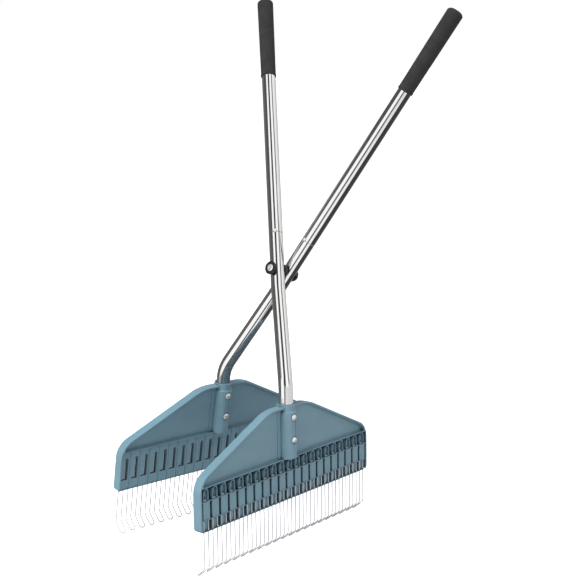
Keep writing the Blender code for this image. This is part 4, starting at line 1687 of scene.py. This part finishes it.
        shade(piece, self.button_crease)
        return self.paint.dress(piece, Slot.CHROME, "button_" + self.letter, "snap_clip_" + self.letter)


@dataclass
class PivotSet:
    """Bolt, knob, spacer and cap on the hinge."""

    near: HandleLine
    far: HandleLine
    paint: Paint
    tube: Tube = Tube()
    sides: int = 72
    bolt: float = 0.008
    bolt_head: float = 0.0130
    bolt_head_height: float = 0.0040
    knob: float = 0.0234
    knob_rim: float = 0.0040
    knob_neck: float = 0.0170
    knob_reach: float = 0.0080
    spacer: float = 0.0260
    spacer_step: float = 0.0200
    spacer_step_height: float = 0.0032
    cap: float = 0.0240
    cap_dome: float = 0.0075
    grasp: float = 0.0050
    soft_edge: float = 0.0007

    @property
    def place(self) -> Matrix:
        """Frame at the middle of the hinge with Z along the bolt."""
        return self.near.hinge @ Matrix.Rotation(QUARTER, 4, "Y")

    @property
    def bolt_hole(self) -> float:
        """Radius of the holes that the bolt runs in."""
        return self.bolt / 2 + GAP

    @property
    def half(self) -> float:
        """Distance from the middle of the hinge to each tube's centre line."""
        return self.near.spacing / 2

    @property
    def knob_face(self) -> float:
        """Outer face of the knob along the axis."""
        return -(self.half + self.tube.radius + self.knob_reach)

    @property
    def bolt_end(self) -> float:
        """End of the blind hole in the cap along the axis."""
        return self.half + self.tube.radius + self.cap_dome * 0.5

    def saddle(self, line: HandleLine) -> Sketch:
        """Cutter that leaves a saddle for one tube, in the hinge's frame.

        Args:
            line: Line of the handle whose tube it makes room for.

        Returns:
            The cutter.
        """
        reach = line.upper * self.tube.diameter * 1.2
        into = self.place.inverted()
        cutter = Sketch()
        cutter.rod(into @ (line.pivot - reach), into @ (line.pivot + reach), self.tube.fit, self.tube.sides)
        return cutter

    def bore(self) -> Sketch:
        """Cutter for the hole that the bolt runs in.

        Returns:
            The cutter.
        """
        cutter = Sketch()
        cutter.turned([(self.bolt_hole, -4 * self.half), (self.bolt_hole, self.bolt_end)], HOLE_SIDES)
        return cutter

    def turned_piece(self, name: str, profile: Profile, line: HandleLine, node: str) -> bpy.types.Object:
        """Turn a black piece, saddle it on its tube and bore it for the bolt.

        Args:
            name: Name of the piece.
            profile: Radii and heights along the hinge axis.
            line: Line of the handle that it sits on and rides with.
            node: Node that it stands for.

        Returns:
            The dressed piece.
        """
        sketch = Sketch()
        sketch.turned(profile, self.sides)
        piece = sketch.piece(name, self.place)
        carve(piece, [(self.saddle(line), Carve.CUT), (self.bore(), Carve.CUT)], self.place)
        shade(piece)
        return self.paint.dress(piece, Slot.BLACK_PLASTIC, line.arm.body, node)

    def hinge_bolt(self) -> bpy.types.Object:
        """Make the bolt, with a low domed head that is dished in the middle.

        Returns:
            The dressed bolt.
        """
        head, front = self.bolt_head / 2, self.knob_face - (self.bolt_head_height - self.knob_rim + GAP)
        height = self.bolt_head_height
        profile = [(0.0, front + height * 0.16), (head * 0.30, front + height * 0.15)]
        profile += [(head * 0.40, front + height * 0.02), (head * 0.46, front)]
        for out, up in arc((0.0, 0.0), 1.0, math.radians(75), 0.0, 7):
            profile.append((head * (0.46 + 0.54 * out), front + height * 0.36 * (1 - up)))
        end = self.bolt_end - GAP
        profile += [(head, front + height), (self.bolt / 2, front + height)]
        profile += [(self.bolt / 2, end - self.bolt * 0.1), (self.bolt * 0.4, end)]
        sketch = Sketch()
        sketch.turned(profile, self.sides)
        piece = sketch.piece("hinge_bolt", self.place)
        shade(piece)
        return self.paint.dress(piece, Slot.CHROME, self.near.arm.body, "pivot_bolt")

    def hand_knob(self) -> bpy.types.Object:
        """Make the round knob with a well for the bolt's head.

        Returns:
            The dressed knob.
        """
        front, neck, rim = self.knob_face, self.knob_neck / 2, self.knob / 2
        back = -self.half - self.tube.radius + self.grasp
        well, soft = self.bolt_head / 2 + GAP, self.soft_edge * 2
        profile = [(0.0, front + self.knob_rim), (well, front + self.knob_rim), (well, front + soft * 0.3)]
        profile += [(well + soft * 0.2, front)]
        profile += turned_edge((rim - soft, front + soft), soft, -QUARTER, 0.0, 6)
        profile += [(rim, front + self.knob_rim - soft * 0.5), (rim - soft * 0.4, front + self.knob_rim)]
        profile += [(neck + soft * 0.4, front + self.knob_rim * 1.2), (neck, front + self.knob_rim * 1.35)]
        profile += [(neck, back), (0.0, back)]
        return self.turned_piece("hand_knob", profile, self.near, "pivot_knob")

    def stepped_spacer(self) -> bpy.types.Object:
        """Make the stepped spacer between the tubes.

        Returns:
            The dressed spacer.
        """
        outer, step = self.spacer / 2, self.spacer_step / 2
        start = -self.half + self.tube.radius - self.grasp
        face = self.half - self.tube.radius - GAP
        ledge = face - self.spacer_step_height
        soft = self.soft_edge
        profile = [(0.0, start), (outer, start)]
        profile += turned_edge((outer - soft, ledge - soft), soft, 0.0, QUARTER, 4)
        profile += [(step + soft * 0.3, ledge), (step, ledge + soft * 0.3)]
        profile += [(step, face - soft * 0.4), (step - soft * 0.4, face), (0.0, face)]
        return self.turned_piece("stepped_spacer", profile, self.near, "pivot_spacer")

    def end_cap(self) -> bpy.types.Object:
        """Make the half-dome cap over the bolt's end.

        Returns:
            The dressed cap.
        """
        outer, edge = self.cap / 2, self.half + self.tube.radius
        profile = [(0.0, edge - self.grasp), (outer, edge - self.grasp)]
        for out, up in arc((0.0, 0.0), 1.0, 0.0, math.radians(86), 12):
            profile.append((outer * out, edge + self.cap_dome * up))
        profile.append((0.0, edge + self.cap_dome))
        return self.turned_piece("end_cap", profile, self.far, "pivot_cap")


@dataclass(frozen=True)
class PhotoView:
    """Camera at the photograph's angle."""

    place: tuple[float, float, float] = (-1.43354, -1.39644, 0.84954)
    aim: tuple[float, float, float] = (0.719401, 0.665131, -0.200160)
    up: tuple[float, float, float] = (0.114464, 0.170705, 0.978651)
    lens: float = 73.69

    def build(self) -> bpy.types.Object:
        """Make the camera and give it to the scene.

        Returns:
            The camera.
        """
        data = bpy.data.cameras.new("photo_view")
        data.lens = self.lens
        data.sensor_width = 36.0
        data.clip_end = 200.0
        camera = bpy.data.objects.new("photo_view", data)
        forward = Vector(self.aim).normalized()
        right = forward.cross(Vector(self.up)).normalized()
        axes = Matrix((right, right.cross(forward), -forward)).transposed().to_4x4()
        camera.matrix_world = Matrix.Translation(self.place) @ axes
        bpy.context.scene.collection.objects.link(camera)
        bpy.context.scene.camera = camera
        return camera

    @property
    def azimuth(self) -> float:
        """Direction from the object back to the camera, about Z."""
        return math.atan2(-self.aim[1], -self.aim[0])


@dataclass(frozen=True)
class SoftLamp:
    """Soft square lamp, aimed at the object and not mirrored in its metal."""

    name: str
    place: tuple[float, float, float]
    size: float
    power: float
    aim: tuple[float, float, float] = (0.0, 0.0, 0.35)

    def build(self) -> bpy.types.Object:
        """Make the lamp.

        Returns:
            The lamp.
        """
        data = bpy.data.lights.new(self.name, "AREA")
        data.size = self.size
        data.energy = self.power
        lamp = bpy.data.objects.new(self.name, data)
        place = Vector(self.place)
        facing = (place - Vector(self.aim)).to_track_quat("Z", "Y").to_matrix().to_4x4()
        lamp.matrix_world = Matrix.Translation(place) @ facing
        lamp.visible_glossy = False
        bpy.context.scene.collection.objects.link(lamp)
        return lamp


@dataclass(frozen=True)
class Studio:
    """White floor and background, soft lamps, and the flags that shape the metal's reflections.

    The flags stand round the object in three tiers. Each tier lists degrees from the direction
    back to the camera with the brightness there, and an edge gives the elevations in degrees
    between which the tier above takes over.
    """

    view: PhotoView
    sky: float = 0.60
    floor_size: float = 120.0
    floor_drop: float = 0.0005
    floor_grey: float = 0.88
    floor_glow: float = 0.62
    lamps: tuple[SoftLamp, ...] = (SoftLamp("key", (-2.0, 0.3, 2.9), 1.6, 118.0),
                                   SoftLamp("fill", (-0.6, -2.0, 2.6), 2.2, 9.0))
    low_flags: Bands = ((-150.0, 0.3), (-60.0, 0.3), (-22.0, 0.07), (-8.0, 0.07), (-4.0, 1.2),
                        (30.0, 1.2), (35.0, 0.06), (120.0, 0.06), (140.0, 0.3), (170.0, 0.3))
    low_edge: tuple[float, float] = (-18.0, -14.0)
    level_flags: Bands = ((-150.0, 0.2), (-77.0, 0.12), (-71.0, 1.3), (-25.0, 1.3), (-22.0, 0.07),
                          (-8.0, 0.07), (-4.0, 1.0), (40.0, 0.9), (90.0, 0.85), (140.0, 0.8),
                          (152.0, 0.25), (170.0, 0.2))
    high_edge: tuple[float, float] = (17.0, 22.0)
    high_flags: Bands = ((-76.0, 0.10), (-66.0, 0.10), (-60.0, 1.35), (-33.0, 1.35), (-29.0, 0.06),
                         (5.0, 0.06), (10.0, 1.3), (52.0, 1.3), (58.0, 0.22), (74.0, 0.22),
                         (80.0, 1.15), (150.0, 0.95))

    def floor(self) -> bpy.types.Object:
        """Make the pale floor, which is white to the camera and keeps the object's shadow.

        Returns:
            The floor.
        """
        sketch = Sketch()
        half = self.floor_size / 2
        corners = rectangle((-half, half), (-half, half))
        sketch.mesh.faces.new([sketch.mesh.verts.new((*corner, -self.floor_drop)) for corner in corners])
        piece = sketch.piece("floor")
        recipe = Recipe("pale_floor")
        recipe.fixed("Roughness", 0.9)
        recipe.fixed("Specular IOR Level", 0.0)
        recipe.fixed("Base Color", (self.floor_grey, self.floor_grey, self.floor_grey, 1.0))
        recipe.fixed("Emission Color", (1.0, 1.0, 1.0, 1.0))
        path = recipe.node("ShaderNodeLightPath")
        glow = recipe.node("ShaderNodeMath", operation="MULTIPLY")
        glow.inputs[1].default_value = self.floor_glow
        recipe.feed(path.outputs["Is Camera Ray"], glow.inputs[0])
        recipe.feed(glow.outputs[0], recipe.shader.inputs["Emission Strength"])
        piece.data.materials.append(recipe.material)
        piece.visible_glossy = False
        return piece

    def surroundings(self) -> None:
        """Light the world: white where it is seen, flagged in tiers where metal mirrors it."""
        world = bpy.data.worlds.new("studio")
        bpy.context.scene.world = world
        world.use_nodes = True
        wiring = Wiring(world.node_tree)
        wiring.tree.nodes.clear()
        direction = wiring.node("ShaderNodeTexCoord")
        spin = wiring.node("ShaderNodeMapping")
        spin.inputs["Rotation"].default_value = (0.0, 0.0, -self.view.azimuth)
        split = wiring.node("ShaderNodeSeparateXYZ")
        wiring.feed(direction.outputs["Generated"], spin.inputs["Vector"])
        wiring.feed(spin.outputs["Vector"], split.inputs["Vector"])
        flags = self.flags(wiring, split)
        path = wiring.node("ShaderNodeLightPath")
        lit = wiring.mixed(path.outputs["Is Glossy Ray"], self.sky, flags)
        white = wiring.node("ShaderNodeMath", operation="MAXIMUM")
        wiring.feed(path.outputs["Is Camera Ray"], white.inputs[0])
        wiring.feed(path.outputs["Is Transmission Ray"], white.inputs[1])
        back = wiring.node("ShaderNodeBackground")
        out = wiring.node("ShaderNodeOutputWorld")
        wiring.feed(wiring.mixed(white.outputs[0], lit, 1.0), back.inputs["Color"])
        wiring.feed(back.outputs["Background"], out.inputs["Surface"])

    def flags(self, wiring: Wiring, split: bpy.types.Node) -> bpy.types.NodeSocket:
        """Brightness of the flags in a direction.

        Args:
            wiring: Node tree of the world.
            split: Node that gives the direction's X, Y and Z.

        Returns:
            The colour socket.
        """
        angle = wiring.node("ShaderNodeMath", operation="ARCTAN2")
        wiring.feed(split.outputs["Y"], angle.inputs[0])
        wiring.feed(split.outputs["X"], angle.inputs[1])
        turn = wiring.ranged(angle.outputs[0], -math.pi, math.pi)
        below = self.bands(wiring, turn, self.low_flags)
        for edge, bands in ((self.low_edge, self.level_flags), (self.high_edge, self.high_flags)):
            start, end = [math.sin(math.radians(degrees)) for degrees in edge]
            height = wiring.ranged(split.outputs["Z"], start, end)
            below = wiring.mixed(height, below, self.bands(wiring, turn, bands))
        return below

    def bands(self, wiring: Wiring, turn: bpy.types.NodeSocket, bands: Bands) -> bpy.types.NodeSocket:
        """Brightness of one tier of flags.

        Args:
            wiring: Node tree of the world.
            turn: Direction about Z, a whole turn from 0 to 1 with the camera at the middle.
            bands: Degrees from the direction back to the camera with the brightness there.

        Returns:
            The colour socket.
        """
        made = wiring.node("ShaderNodeValToRGB")
        ramp = made.color_ramp
        while len(ramp.elements) > 1:
            ramp.elements.remove(ramp.elements[-1])
        for index, (degrees, level) in enumerate(bands):
            position = (degrees + 180.0) / 360.0
            stop = ramp.elements[0] if index == 0 else ramp.elements.new(position)
            stop.position = position
            stop.color = (level, level, level, 1.0)
        wiring.feed(turn, made.inputs["Fac"])
        return made.outputs["Color"]

    def build(self) -> None:
        """Set up the floor, the world and the lamps."""
        self.floor()
        self.surroundings()
        for lamp in self.lamps:
            lamp.build()


def main() -> None:
    """Build the pieces in order, then the studio."""
    logging.basicConfig(level=logging.INFO, format="%(name)s: %(message)s")
    bpy.context.scene.view_settings.view_transform = "Standard"
    paint = Paint()
    lines = {arm: HandleLine(arm) for arm in Arm}
    pivot = PivotSet(lines[Arm.A], lines[Arm.B], paint)
    for arm, line in lines.items():
        head = RakeHead(line, paint)
        head.moulding()
        head.screws()
        head.tines()
        handle = Handle(line, head, paint)
        handle.upper_tube()
        handle.lower_tube(pivot.bolt_hole)
        handle.grip()
        handle.spring_button()
        log.info("arm %s is done", arm.value)
    pivot.hinge_bolt()
    pivot.hand_knob()
    pivot.stepped_spacer()
    pivot.end_cap()
    view = PhotoView()
    view.build()
    Studio(view).build()


if __name__ == "__main__":
    main()
